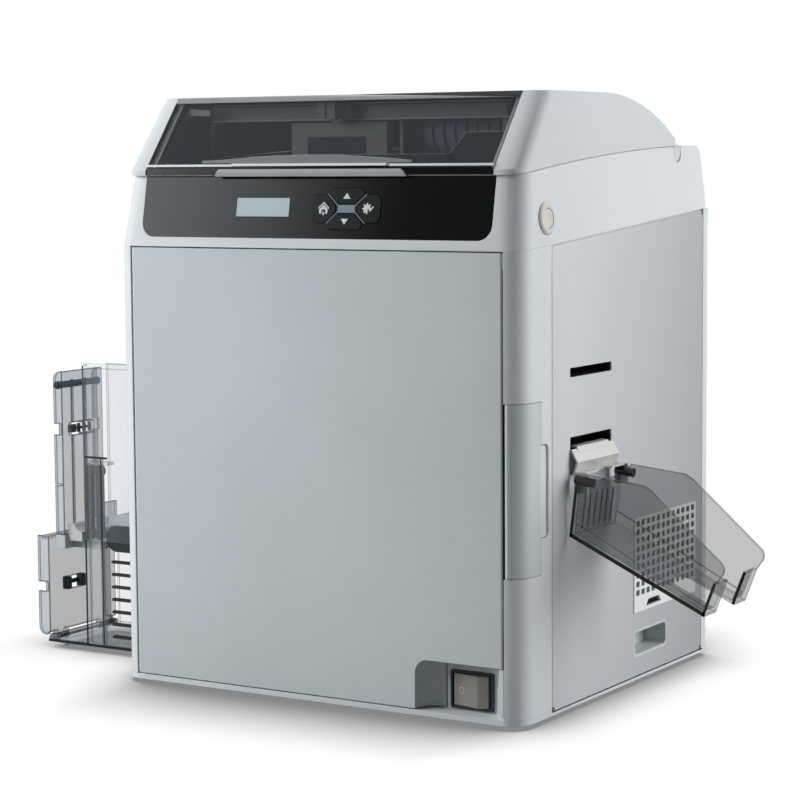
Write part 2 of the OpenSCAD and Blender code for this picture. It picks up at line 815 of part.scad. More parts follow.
module front_door() place() color([0.7, 0.74, 0.76]) {
  difference() {
    union() {
      block(-door_half + 1.5, door_half - 1.5, 0, door_skin, door_z0, door_z1);
      for (s = [-1, 1])
        rod_z(door_z0, door_z1, s * (door_half - 1.5), 1.5, 1.5);
      block(door_half - 3, door_half, 1.5, door_skin, door_z0, door_z1);
      // stiffening frame and ribs
      block(-door_half + 9, door_half, door_skin - eps, door_d, door_z1 - 3, door_z1);
      block(-door_half + 9, cove_x - 10, door_skin - eps, door_d, door_z0, door_z0 + 3);
      block(door_half - 3, door_half, door_skin - eps, door_d, cove_top + 4, door_z1);
      block(-door_half + 9, -door_half + 12, door_skin - eps, door_d, door_z0, door_z1);
      for (z = [86, 150, 220])
        block(-door_half + 9, door_half, door_skin - eps, door_d - 3, z, z + 2);
      for (x = [-60, 30])
        block(x, x + 2, door_skin - eps, door_d - 3, door_z0, door_z1);
      // thick corner for the cove round the switch
      block(cove_x - switch_d - 3, door_block_x, 0, switch_d, door_z0, cove_top + 3);
      // hinge barrels
      for (z = [door_z0, door_z1 - 16])
        rod_z(z, z + 16, -door_half + 4, 3, 3);
    }
    // cove round the switch
    intersection() {
      union() {
        rod_z(door_z0 - 1, cove_top, cove_x, 0, switch_d);
        block(cove_x, door_half + 1, -1, switch_d + 1, door_z0 - 1, cove_top);
      }
      round_y(cove_x - switch_d, door_half + 40, -1, switch_d + 1, -30, cove_top, 9);
    }
    // hinge bores
    for (z = [door_z0 - 1, door_z1 - 11])
      rod_z(z, z + 12, -door_half + 4, 3, pin_r + pin_fit);
  }
}

module door_hinge_pins() place() color([0.7, 0.7, 0.72]) {
  rod_z(foot_h + 0.8, door_z0 + 10.5, -door_half + 4, 3, pin_r);
  rod_z(door_z1 - 10.5, seam_h + 7, -door_half + 4, 3, pin_r);
}

sw_y = switch_d + tiny;
bezel_x0 = door_half - 45.4;
bezel_x1 = door_half - 14.2;
bezel_z0 = base_top + 0.9;
bezel_z1 = base_top + 25.6;

module switch_housing() place() color([0.66, 0.7, 0.72]) {
  difference() {
    union() {
      block(cove_x - 20, column_x, sw_y, sw_y + 2.5, base_top, cove_top + 6);
      round_y(door_half - 3.3, column_x, 1, sw_y + eps, base_top, cove_top - 0.5, 1.4);
    }
    block(bezel_x0 + 1, bezel_x1 - 1, sw_y - 1, sw_y + 4, bezel_z0 + 1, bezel_z1 - 1);
  }
}

rocker_x = (bezel_x0 + bezel_x1) / 2 - 0.3;
rocker_y = sw_y + 2.4;

module power_bezel() place() color([0.16, 0.17, 0.17]) {
  difference() {
    union() {
      round_y(bezel_x0, bezel_x1, sw_y - 1.6, sw_y, bezel_z0, bezel_z1, 1.5);
      block(bezel_x0 + 1, bezel_x1 - 1, sw_y - eps, sw_y + 14, bezel_z0 + 1, bezel_z1 - 1);
    }
    block(rocker_x - 13.9, rocker_x + 13.9, sw_y - 2, sw_y + 9, bezel_z0 + 2, bezel_z1 - 2);
    rod_z(bezel_z0 + 1.4, bezel_z1 - 1.4, rocker_x, rocker_y, 1.5 + pin_fit);
  }
}

module power_rocker() place() color([0.42, 0.43, 0.42]) {
  translate([rocker_x, rocker_y, bezel_z0 + 2.3])
    linear_extrude(height = bezel_z1 - bezel_z0 - 4.6)
      polygon([[-12.6, -3.9], [-3, -5.6], [5.5, -7.9], [7, -7.9], [12.6, -5.1], [12.4, -1.5],
        [4, 2.4], [-4, 2.4], [-12.6, -1.2]]);
  rod_z(bezel_z0 + 1.5, bezel_z1 - 1.5, rocker_x, rocker_y, 1.5);
}

// ---------------------------------------------------------------- cover
slope_y = face_y - 2.7;               // foot of the window slope
slope_z = crown(face_y) + 3.3;
brow_y = slope_y + (cover_top - slope_z) * tan(window_lean);
cover_gap = 0.3;

module cover_block(t) {
  hull() {
    slab(half_w - 4 - t, slope_y + t, 330, slope_z - 4, 13 - t, 2);
    slab(half_w - 4 - t, slope_y + t, 330, slope_z - t * 0.35, 13 - t, 2);
    slab(half_w - 6 - t, brow_y + t / cos(window_lean), 330, cover_top, 13 - t, 2);
  }
}

// side view of the cover (t = 0) or of its hollow (t > 0); the rear end is rolled round the hinge
module cover_profile(t) {
  roll_r = trough_r - tiny;
  back_y = cover_d - 108.3;
  back_r = 200 - t;
  y1 = t > 0 ? hinge_y - 7 : cover_d + 0.8;
  polygon(concat(
    [for (i = [0 : 8]) [y1 * i / 8, crown(y1 * i / 8) + (t > 0 ? -6 : cover_gap)]],
    t > 0 ? [[y1, 366]] :
      [for (a = [25 : -9.5 : -13]) [hinge_y + roll_r * sin(a), hinge_z + roll_r * cos(a)]],
    t > 0 ? [] : [[hinge_y - 2.2, crown(cover_d) + 4.9]],
    [for (a = [27 : -3 : 0]) [back_y + back_r * sin(a), cover_top - 200 + back_r * cos(a)]],
    [[0, cover_top - t]]));
}

module window_line(t) {
  polygon([[slope_y - 0.1, slope_z - 3.1], [slope_y - 0.1, slope_z], [brow_y, cover_top],
    [brow_y + 4, cover_top], [brow_y + 4, cover_top - t], [brow_y + t * 0.35, cover_top - t],
    [slope_y - 0.1 + t, slope_z - t * 0.35], [slope_y - 0.1 + t, slope_z - 3.1]]);
}

module cover_shell() {
  intersection() {
    cover_block(0);
    along_x(-half_w, half_w)
      cover_profile(0);
  }
}

module top_cover() place() color([0.78, 0.81, 0.83]) {
  difference() {
    union() {
      difference() {
        cover_shell();
        intersection() {
          cover_block(cover_wall);
          along_x(-half_w, half_w)
            cover_profile(cover_wall);
        }
      }
      // ledges behind the window
      for (s = [-1, 1])
        intersection() {
          cover_shell();
          along_x(s * (window_w / 2 + 1) - 5, s * (window_w / 2 + 1) + 5)
            polygon([[slope_y + 2, slope_z + 2], [slope_y + 8, slope_z + 2],
              [brow_y + 6, cover_top - 6], [brow_y + 6, cover_top], [brow_y, cover_top]]);
        }
      // hinge knuckles
      for (s = [-1, 1])
        hull() {
          rod_x(s * hinge_x - 12, s * hinge_x + 12, hinge_y, hinge_z, 4);
          block(s * hinge_x - 12, s * hinge_x + 12, hinge_y - 3.6, hinge_y - 1.2, hinge_z + 5,
            hinge_z + 5.8);
        }
      // rolled ends that close the trough at the sides
      for (s = [-1, 1])
        rod_x(s * (half_w - 7) - 2.2, s * (half_w - 7) + 2.2, hinge_y, hinge_z, trough_r - tiny - 0.15);
      // stiffening ribs under the roof
      for (x = [-70, 0, 70])
        intersection() {
          cover_shell();
          block(x - 1, x + 1, mech_y1 + 6, 205, cover_top - 30, cover_top);
        }
    }
    along_x(-window_w / 2, window_w / 2)
      window_line(window_t);
    for (s = [-1, 1])
      rod_x(s * hinge_x - 13, s * hinge_x + 13, hinge_y, hinge_z, pin_r + pin_fit);
    // clearance round the lugs of the housing
    for (s = [-1, 1], x = [hinge_x - 17.5, hinge_x + 13.5])
      block(s * (x + 2) - 2.4, s * (x + 2) + 2.4, hinge_y - 9, hinge_y + 6, hinge_z - 6,
        hinge_z + 4.4);
  }
}

module cover_window() place() color([0.3, 0.34, 0.36, 0.45])
  along_x(-window_w / 2, window_w / 2)
    window_line(window_t);

// finger lip along the foot of the window
module cover_grip() place() color([0.74, 0.77, 0.79]) {
  w = grip_lip_w / 2;
  y0 = slope_y - 0.1;
  along_x(-w, w)
    polygon([[y0, slope_z - 3.1], [y0, slope_z - 0.2], [y0 - 1.6, slope_z - 0.6],
      [y0 - 2.4, slope_z - 1.6], [y0 - 2.4, slope_z - 2.4], [y0 - 1.6, slope_z - 3.1]]);
  for (i = [-7 : 7])
    rod_z(slope_z - 3.1, slope_z - 0.9, i * 9.4, y0 - 1.6, 1.2);
}

module cover_hinge_pins() place() color([0.7, 0.7, 0.72])
  for (s = [-1, 1])
    rod_x(s * hinge_x - 17.5, s * hinge_x + 17.5, hinge_y, hinge_z, pin_r);

// ---------------------------------------------------------------- tray side
module slot_guides() place() color([0.2, 0.21, 0.22])
  for (q = [[upper_slot_z, slot_h], [lower_slot_z, lower_slot_h]])
    difference() {
      block(half_w - 22, inner_x, card_y - slot_w / 2 - 3, card_y + slot_w / 2 + 3,
        q[0] - q[1] / 2 - 3, q[0] + q[1] / 2 + 3);
      round_x(half_w - 23, inner_x + 1, card_y - slot_w / 2, card_y + slot_w / 2,
        q[0] - q[1] / 2, q[0] + q[1] / 2, 0.8);
    }

bracket_y0 = card_y - 29.3;
bracket_y1 = card_y + 29.2;

module output_bracket() place() color([0.78, 0.78, 0.77]) {
  z0 = lower_slot_z;
  difference() {
    union() {
      along_y(bracket_y0, bracket_y1)
        strip([[half_w + 0.8, z0 - 3.6], [half_w + 5.1, z0 - 11.5], [half_w + 2.7, z0 - 19],
          [half_w + 10.5, z0 - 18.2]], bracket_t);
      // tongue hooked through the slot
      along_y(bracket_y0 + 7, bracket_y1 - 7)
        strip([[half_w - 3, z0 - 2.2], [half_w + 0.9, z0 - 2.7], [half_w + 2.2, z0 - 6]], bracket_t);
      // ears that carry the tray
      for (y = [bracket_y0, bracket_y1 - bracket_t])
        block(half_w + 3, half_w + 12.5, y, y + bracket_t, z0 - 31, z0 - 17.8);
    }
    block(half_w + 5.5, half_w + 20, card_y - 9, card_y + 9, z0 - 25, z0 - 15);
  }
}

// everything of the tray is drawn in its own frame and hung at its tilt
module tray_frame() {
  translate([tray_x0, 0, tray_z0])
    rotate([0, tray_tilt, 0])
      children();
}

tray_y0 = card_y - tray_w / 2 - 0.6;
tray_y1 = tray_y0 + tray_w;

module tray_side() {
  polygon([[0, 0], tray_b, lip_top, nose + nose_r * [cos(20), -sin(20)],
    nose + nose_r * [0.555, 0.832], [0.537 * tray_b[0], tray_h - 2.1],
    [0.476 * tray_b[0], tray_h + 0.4], [8, tray_h - 0.2], [0, tray_h - 8.6]]);
  translate(nose)
    circle(r = nose_r);
}

module output_tray() place() color([0.5, 0.56, 0.58, 0.5]) {
  t = tray_wall;
  lip_w = 18;
  lip = lip_top - tray_b;
  floor_dir = tray_b / norm(tray_b);
  up_dir = [-floor_dir[1], floor_dir[0]];
  difference() {
    tray_frame() {
      for (y = [tray_y0, tray_y1 - t])
        along_y(y, y + t)
          tray_side();
      along_y(tray_y0, tray_y1)
        polygon([[0, 0], tray_b, tray_b + t * up_dir, [t, t * 1.05], [t, tray_h - 8], [0, tray_h - 8.6]]);
      for (y = [tray_y0, tray_y1 - lip_w])
        along_y(y, y + lip_w)
          polygon([tray_b, lip_top, lip_top + [-t, t * 0.2], tray_b + [-t * 1.1, t * 0.7]]);
      // step along the inside of both walls
      for (y = [tray_y0 + t, tray_y1 - t - 1])
        along_y(y, y + 1)
          polygon([[t, 1.5], tray_b * 0.96 + up_dir, tray_b * 0.96 + up_dir * 5, [t, 9]]);
      // pegs in the ears of the bracket
      for (y = [tray_y0 + t + 0.4, tray_y1 - t - 2.4])
        rod_x(-0.9, 11.5, y, tray_h - 5.1, 2.7);
    }
    // room for the ears of the bracket
    for (y = [bracket_y0, bracket_y1 - bracket_t])
      block(half_w + 2.8, half_w + 12.6, y - 0.1, y + bracket_t + 0.1, lower_slot_z - 31.1,
        lower_slot_z - 17);
    // finger opening in the floor between the lips
    tray_frame() {
      rotate([0, tray_slope, 0]) {
        upright(72, tray_len + 20, card_y - 14.6, card_y + 13.4, -4, 4, 0.5);
        translate([72, card_y - 0.6, -4])
          scale([0.6, 1, 1])
            cylinder(h = 8, r = 14);
      }
    }
    // grooves near the back
    tray_frame()
      for (i = [0 : 5])
        block(t - 0.5, t + 0.1, tray_y0 + 12 + 8 * i, tray_y0 + 13.2 + 8 * i, 4, 26);
  }
}

// ---------------------------------------------------------------- hopper
module hopper_frame() place() color([0.85, 0.9, 0.93, 0.35]) {
  w = hopper_wall;
  fx = half_w + hopper_front_l;        // free edge of the front wall
  cx = fx + 6.5;                       // outer edge of the channel column
  difference() {
    union() {
      block(-cx, -half_w, hopper_y, hopper_y + w, deck_z, hopper_top);
      block(-cx, -half_w - 64, hopper_y, hopper_y + w, hopper_z, deck_z + eps);
      block(-tower_x - flange_out, -half_w, hopper_y1 - w, hopper_y1, deck_z, hopper_top - 4);
      block(-box_x + 6, -half_w, box_y1 - w, box_y1, hopper_z, deck_z);
      block(-box_x + 6, -half_w, hopper_y1 - w, box_y1, deck_z - w, deck_z + eps);
      // floor
      round_floor();
      // rolled top and free edge
      rod_x(-cx + 1.5, -half_w, hopper_y + w / 2, hopper_top, 2);
      rod_z(deck_z, hopper_top, -cx + 1.5, hopper_y + w / 2, 2);
      // channel column
      for (x = [-cx, -cx + 12])
        block(x, x + 2, hopper_y, hopper_y + guide_d, hopper_z, guide_top);
      block(-cx, -cx + 20, hopper_y, hopper_y + guide_d + 4.6, guide_top - 2, guide_top);
      // corner posts of the wall
      block(-half_w - 6, -half_w, hopper_y, hopper_y + 4, deck_z + 20, hopper_top);
    }
    // opening of the lower bay towards the front
    block(-half_w - 62, -half_w - 1, hopper_y - 1, hopper_y + w + 1, hopper_z + 5, deck_z - 1);
  }
}

module round_floor() {
  block(-box_x + 6, -half_w, hopper_y, box_y1, hopper_z, hopper_z + 2.5);
  // stub that lets the floor stand off the desk
  rod_z(hopper_z - 3, hopper_z + 0.5, -box_x + 11, hopper_y + 8, 1.6);
}

module hopper_end_wall() place() color([0.75, 0.82, 0.86, 0.4]) {
  w = hopper_wall;
  x0 = -tower_x;
  difference() {
    union() {
      block(x0 - w, x0, hopper_y, hopper_y1 - w, deck_z + 2, deck_z + 20);
      block(x0 - w, x0, hopper_y, tower_y1, deck_z + 2, hopper_top - 5);
      for (y = [hopper_y, tower_y1 - w])
        union() {
          block(x0 - flange_out, x0, y, y + w, deck_z + 2, hopper_top - 11);
          intersection() {
            rod_y(y, y + w, x0 - flange_out + 6, hopper_top - 11, 6);
            block(x0 - flange_out, x0, y, y + w, deck_z, hopper_top);
          }
          block(x0 - flange_out + 6, x0, y, y + w, hopper_top - 12, hopper_top - 5);
        }
      for (y = [hopper_y + 14, hopper_y + 29])
        block(x0 - w - 1.2, x0 - w + eps, y, y + 1.6, deck_z + 6, hopper_top - 12);
    }
    // windows of the clips
    block(x0 - w - 2, x0 + 1, hopper_y + 10, tower_y1 - 10, deck_z + 74, deck_z + 83);
    for (y = [hopper_y, tower_y1 - w])
      block(x0 - flange_out - 1, x0 - w - 1, y - 1, y + w + 1, deck_z + 75, deck_z + 83);
    // parting line
    block(x0 - flange_out - 1, x0 - w - 0.4, hopper_y - 1, hopper_y1, deck_z + 38, deck_z + 38.8);
    rod_y(hopper_y - 1, hopper_y1, x0 - 4.5, rod_z0, 2.5);
  }
}

rod_z0 = hopper_top - 15;

module hopper_rod() place() color([0.2, 0.21, 0.22])
  rod_y(hopper_y - 0.8, tower_y1 + 0.8, -tower_x - 4.5, rod_z0, 2.5);

module hopper_deck() place() color([0.72, 0.75, 0.76]) {
  block(-tower_x - 13, -half_w - 75, hopper_y + hopper_wall + 8, hopper_y1 - hopper_wall, deck_z - 8, deck_z - 2);
  block(-tower_x - flange_out, -tower_x, hopper_y, hopper_y1 - hopper_wall, deck_z - 8, deck_z + 2);
  difference() {
    block(-tower_x + 1, -tower_x + 13.5, hopper_y + 3, hopper_y1 - 12, deck_z - 2 - eps,
      deck_z + 10);
    rod_y(hopper_y, hopper_y1, -tower_x + 13.5, deck_z + 12, 7);
  }
}

box_pin_z = hopper_z + 2.5;
box_pin_x = box_x - 1;
clip_y0 = hopper_y + 20;
clip_y1 = clip_y0 + 20;

module hopper_door() place() color([0.75, 0.82, 0.86, 0.4]) {
  w = hopper_wall;
  y0 = hopper_y + 0.4;
  y1 = box_y1 - 0.4;
  difference() {
    union() {
      block(-box_x, -box_x + w, y0, y1, box_pin_z + 4, deck_z);
      block(-box_x - flange_out + 2, -box_x + w, y0, y1, deck_z - 2, deck_z);
      for (y = [y0, y1 - w])
        union() {
          block(-box_x - flange_out, -box_x + w, y, y + w, box_pin_z + 8, deck_z);
          intersection() {
            rod_y(y, y + w, -box_x - flange_out + 6, box_pin_z + 8, 6);
            block(-box_x - flange_out, -box_x, y, y + w, 0, deck_z);
          }
          block(-box_x - flange_out + 6, -box_x + w, y, y + w, box_pin_z + 4, box_pin_z + 9);
        }
      for (y = [hopper_y + 8, box_y1 - 20])
        hull() {
          rod_y(y, y + 12, -box_pin_x, box_pin_z, 3.2);
          block(-box_x, -box_x + w, y, y + 12, box_pin_z + 5, box_pin_z + 6);
        }
    }
    rod_y(hopper_y, box_y1, -box_pin_x, box_pin_z, 2 + pin_fit);
    block(-box_x - 1, -box_x + w + 1, clip_y0, clip_y1, deck_z - 42, deck_z - 33);
    block(-box_x - flange_out - 1, -box_x - 1, y0 - 1, y0 + w + 1, deck_z - 41, deck_z - 34);
  }
}

module door_clip() place() color([0.18, 0.19, 0.2]) {
  for (y = [clip_y0, clip_y1 - 4])
    block(-box_x - 1.5, -box_x + hopper_wall + 1.5, y, y + 4, deck_z - 42, deck_z - 33);
  block(-box_x - 1.5, -box_x, clip_y0, clip_y1, deck_z - 39, deck_z - 36);
}

module hopper_door_pin() place() color([0.35, 0.36, 0.37]) {
  rod_y(hopper_y + 3, box_y1 - 3, -box_pin_x, box_pin_z, 2);
  for (y = [hopper_y + 3, box_y1 - 7])
    block(-box_pin_x - 0.5, -box_x + 6, y, y + 4, hopper_z, hopper_z + 5);
}

// pair of dog-bone levers that hold the card gate, joined by their two shafts
module guard_lever() place() color([0.25, 0.26, 0.27]) {
  x1 = -half_w - 72.5;
  x2 = x1 - 9;
  y0 = hopper_y + guide_d + 0.5;
  low = deck_z + 4;
  high = deck_z + 50;
  for (x = [x1, x2]) {
    for (z = [low, high])
      rod_x(x - 1.6, x + 1.6, y0 + 2.3, z, 2.3);
    block(x - 2.6, x + 2.6, y0 + 0.3, y0 + 3.9, low - 1, high + 1);
    for (z = [low, high])
      rod_y(y0, y0 + 4.2, x, z, 4);
  }
  for (z = [low, high])
    rod_x(x2, x1, y0 + 2.3, z, 1.2);
}

bed_x = -half_w - 64;

module feed_bed() place() color([0.27, 0.28, 0.29])
  difference() {
    union() {
      block(bed_x + 9.5, -half_w, hopper_y + hopper_wall, hopper_y1 - hopper_wall, deck_z - 7,
        deck_z + 12);
      rod_y(hopper_y + hopper_wall, hopper_y1 - hopper_wall, bed_x + 9.5, deck_z + 2.5, 9.5);
    }
    block(bed_x + 28, bed_x + 50, hopper_y + 12, hopper_y1 - 12, deck_z - 3, deck_z + 13);
    rod_y(hopper_y + 5, hopper_y1 - 5, bed_x + 39, deck_z + 9.5, 2 + pin_fit);
  }

// pale plate that the lowest card lies on
module feed_plate() place() color([0.78, 0.8, 0.81])
  difference() {
    block(bed_x + 2, -half_w, hopper_y + hopper_wall + 1, hopper_y1 - hopper_wall - 1,
      deck_z + 12, deck_z + 18);
    block(bed_x + 28, bed_x + 50, hopper_y + 12, hopper_y1 - 12, deck_z + 11, deck_z + 19);
  }

module feed_roller() place() color([0.12, 0.12, 0.12]) {
  rod_y(hopper_y + 5.5, hopper_y1 - 5.5, -half_w - 25, deck_z + 9.5, 2);
  for (y = [card_y - 16, card_y + 6])
    rod_y(y, y + 10, -half_w - 25, deck_z + 9.5, 9);
}

// comb of thin fins that guides rejected cards in the lower bay
module stack_comb() place() color([0.22, 0.23, 0.24]) {
  y0 = hopper_y + 4;
  block(-half_w - 4, -half_w, y0, y0 + 10, hopper_z + 2.5, deck_z - 7);
  for (i = [0 : 6])
    upright(-half_w - 62, -half_w - 1, y0, y0 + 4.4, hopper_z + 7 + 9.1 * i,
      hopper_z + 8.6 + 9.1 * i, 2.1);
}

// ---------------------------------------------------------------- mechanism
mech_y0 = card_y - 36;
mech_y1 = card_y + 35;
roller_z = upper_slot_z - 8.2;

module inner_chassis() place() color([0.66, 0.67, 0.68]) {
  t = 1.5;
  difference() {
    union() {
      block(-130, 140, mech_y0, 262, base_top, base_top + t);
      for (y = [mech_y0, mech_y1])
        along_y(y, y + t)
          polygon([[-130, base_top], [124, base_top], [124, seam_h - 5], [112, seam_h + 53],
            [-112, seam_h + 53], [-130, seam_h - 5]]);
      for (z = [60, seam_h - 7])
        block(-120, -112, mech_y0, mech_y1, z, z + t);
      block(112, 118, mech_y0, mech_y1, seam_h - 7, seam_h - 7 + t);
    }
    for (x = [0, -58])
      rod_y(mech_y0 - 1, mech_y1 + t + 1, x, roller_z, 3 + pin_fit);
    for (x = [-46, 46])
      rod_y(mech_y0 - 1, mech_y1 + t + 1, x, upper_slot_z + 46, 3 + pin_fit);
    for (z = [60, 120], x = [-70, 20])
      round_y(x, x + 50, mech_y0 - 1, mech_y1 + t + 1, z, z + 34, 8);
  }
}

module ribbon_cassette() place() color([0.2, 0.22, 0.24]) {
  z0 = upper_slot_z + 46;
  difference() {
    for (y = [mech_y0 + 4, mech_y1 - 5])
      union() {
        block(-46, 46, y, y + 2.5, z0 - 6, z0 + 6);
        for (x = [-46, 46])
          rod_y(y, y + 2.5, x, z0, 9);
      }
    for (x = [-46, 46])
      rod_y(mech_y0, mech_y1, x, z0, 3 + tiny);
  }
  for (z = [z0 - 5, z0 + 3])
    block(-20, 20, mech_y0 + 6, mech_y1 - 4, z, z + 2);
}

module spool(x, r, y0, y1) {
  rod_y(mech_y0 - 3, mech_y1 + 4, x, upper_slot_z + 46, 3);
  rod_y(y0, y1, x, upper_slot_z + 46, r);
  for (y = [y0 - 1.5, y1])
    rod_y(y, y + 1.5, x, upper_slot_z + 46, r + 3);
}

module ribbon_supply() place() color([0.15, 0.16, 0.2])
  spool(-46, 16, mech_y0 + 9, mech_y1 - 8);
module ribbon_takeup() place() color([0.3, 0.31, 0.34])
  spool(46, 10, mech_y0 + 9, mech_y1 - 8);

module print_head() place() color([0.5, 0.51, 0.53]) {
  difference() {
    union() {
      block(-9, 9, mech_y0 + 1.5, mech_y1, upper_slot_z + 6, upper_slot_z + 18);
      block(-3, 3, mech_y0 + 8, mech_y1 - 7, upper_slot_z + 1.5, upper_slot_z + 6.1);
    }
    for (i = [-3 : 3])
      block(-10, 10, card_y - 1 + i * 8, card_y + 1 + i * 8, upper_slot_z + 11, upper_slot_z + 19);
  }
}

module platen_roller() place() color([0.1, 0.1, 0.11]) {
  rod_y(mech_y0 - 3, mech_y1 + 6, 0, roller_z, 3);
  rod_y(mech_y0 + 6, mech_y1 - 5, 0, roller_z, 8);
}

module film_cassette() place() color([0.24, 0.25, 0.26]) {
  difference() {
    union() {
      block(-112, 112, mech_y0, mech_y1 + 1.5, seam_h + 53, seam_h + 55);
      for (x = [32, 113])
        block(x, x + 2.5, mech_y0 + 4, mech_y1 - 4, seam_h + 54.9, seam_h + 82);
      block(-50, 24.6, mech_y0, mech_y0 + 8, seam_h + 54.9, seam_h + 81);
      block(-115, 115, mech_y0 - 2, mech_y0 + 3, seam_h + 82, seam_h + 92);
      for (x = [-115, 112])
        block(x, x + 3, mech_y0 - 2, mech_y0 + 3, seam_h + 55, seam_h + 83);
      for (x = [-112, 109])
        block(x, x + 3, mech_y0 - 2, mech_y0 + 3, seam_h + 53, seam_h + 56);
    }
    rod_x(30, 118, card_y - 6, seam_h + 74, 2.5 + pin_fit);
    block(-90, 28, mech_y0 + 14, mech_y1 - 6, seam_h + 52, seam_h + 56);
  }
  rod_y(mech_y0 - 7, mech_y0 + 1, -10, seam_h + 87, 6.5);
}

module film_roll() place() color([0.36, 0.4, 0.44]) {
  rod_x(30.5, 117, card_y - 6, seam_h + 74, 2.5);
  for (i = [0 : 8])
    rod_x(37 + 8.3 * i, 42.6 + 8.3 * i, card_y - 6, seam_h + 74, 16.5);
  rod_x(37, 108, card_y - 6, seam_h + 74, 15.5);
}

module drive_motor() place() color([0.3, 0.31, 0.33]) {
  y0 = mech_y1 + 1.5;
  difference() {
    union() {
      upright_motor(y0 + 8);
      rod_y(y0 + 48, y0 + 56, 0, roller_z, 6);
    }
    rod_y(y0 + 7, y0 + 20, 0, roller_z, 5);
  }
  for (x = [-17, 17], z = [roller_z - 17, roller_z + 17])
    rod_y(y0, y0 + 8.1, x, z, 2.5);
}

module upright_motor(y0) {
  round_y(-21, 21, y0, y0 + 40, roller_z - 21, roller_z + 21, 4);
}

module main_board() place() color([0.1, 0.34, 0.2]) {
  y0 = rear_y - 6.6;
  block(-52, 52, y0, y0 + 1.6, 40, 160);
  block(-13.7, -1.3, y0 + 1.6 - eps, body_d - 1, port_z - 5.7, port_z + 5.7);
  block(10.3, 25.7, y0 + 1.6 - eps, body_d - 1, port_z - 6.7, port_z + 6.7);
  for (x = [-40, -10, 22])
    block(x, x + 14, y0 - 3, y0 + eps, 74, 88);
  rod_y(y0 - 12, y0 + eps, 36, 140, 6);
}

module power_supply() place() color([0.72, 0.73, 0.74]) {
  difference() {
    block(40, 132, body_d - 110, body_d - 30, base_top + 1.5, 78);
    for (i = [0 : 8])
      block(50 + 9 * i, 54 + 9 * i, body_d - 100, body_d - 40, 74, 79);
  }
}

module cooling_fan() place() color([0.12, 0.12, 0.13]) {
  y1 = body_d - wall;
  difference() {
    block(fan_x - fan_w / 2, fan_x + fan_w / 2, y1 - 15, y1, fan_z - fan_w / 2, fan_z + fan_w / 2);
    rod_y(y1 - 16, y1 + 1, fan_x, fan_z, fan_w / 2 - 2);
  }
  for (a = [45 : 90 : 315])
    translate([fan_x, y1 - 2, fan_z])
      rotate([0, a, 0])
        block(0, fan_w / 2 - 1, 0, 2, -1.5, 1.5);
  rod_y(y1 - 2, y1, fan_x, fan_z, 9);
  rod_y(y1 - 12, y1 - 1, fan_x, fan_z, 2);
}

module fan_rotor() place() color([0.16, 0.16, 0.17]) {
  y1 = body_d - wall;
  difference() {
    union() {
      rod_y(y1 - 14, y1 - 2.4, fan_x, fan_z, 9);
      for (a = [0 : 51.43 : 350])
        translate([fan_x, y1 - 8.2, fan_z])
          rotate([0, a, 0])
            rotate([35, 0, 0])
              block(8, fan_w / 2 - 3, -5, 5, -0.8, 0.8);
    }
    rod_y(y1 - 12.4, y1, fan_x, fan_z, 2 + pin_fit);
  }
}

module power_inlet() place() color([0.08, 0.08, 0.09]) {
  y1 = body_d;
  difference() {
    union() {
      round_y(inlet_x - 25, inlet_x + 25, y1 - 1.5, y1, inlet_z - 12, inlet_z + 12, 3);
      block(inlet_x - 14, inlet_x + 14, y1 - 24, y1 - 1, inlet_z - 10.2, inlet_z + 10.2);
    }
    block(inlet_x - 12, inlet_x + 12, y1 - 17, y1 + 1, inlet_z - 8, inlet_z + 8);
    for (x = [-20, 20])
      rod_y(y1 - 3, y1 + 1, inlet_x + x, inlet_z, 1.8);
  }
  for (x = [-7, 0, 7])
    block(inlet_x + x - 1, inlet_x + x + 1, y1 - 18, y1 - 5, inlet_z - 2.4, inlet_z + 2.4);
}

base_tray();
rubber_feet();
left_column();
right_column();
left_side_panel();
right_side_panel();
rear_panel();
upper_housing();
control_panel();
display_window();
key_light_bar();
control_board();
up_key();
down_key();
home_key();
confirm_key();
release_ring();
release_button();
switch_housing();
power_bezel();
power_rocker();
front_door();
door_hinge_pins();
door_handle();
handle_pins();
top_cover();
cover_window();
cover_grip();
cover_hinge_pins();
vent_grille();
carry_cups();
slot_guides();
output_bracket();
output_tray();
hopper_frame();
hopper_end_wall();
hopper_rod();
hopper_deck();
hopper_door();
door_clip();
hopper_door_pin();
guard_lever();
feed_bed();
feed_plate();
feed_roller();
stack_comb();
inner_chassis();
ribbon_cassette();
ribbon_supply();
ribbon_takeup();
print_head();
platen_roller();
film_cassette();
film_roll();
drive_motor();
main_board();
power_supply();
cooling_fan();
fan_rotor();
power_inlet();
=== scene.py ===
"""Desktop card printer: finishes, small parts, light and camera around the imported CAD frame."""

import logging
import math
from dataclasses import dataclass, field
from enum import Enum

import bmesh
import bpy
from mathutils import Matrix, Vector


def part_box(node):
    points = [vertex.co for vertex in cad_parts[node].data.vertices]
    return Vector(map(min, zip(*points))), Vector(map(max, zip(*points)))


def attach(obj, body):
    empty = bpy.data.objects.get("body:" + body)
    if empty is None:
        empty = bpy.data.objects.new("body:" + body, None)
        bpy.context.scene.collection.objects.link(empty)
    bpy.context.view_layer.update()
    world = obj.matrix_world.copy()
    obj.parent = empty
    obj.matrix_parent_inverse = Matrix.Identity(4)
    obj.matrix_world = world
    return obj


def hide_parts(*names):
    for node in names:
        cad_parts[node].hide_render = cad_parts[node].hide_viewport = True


log = logging.getLogger("card_printer")

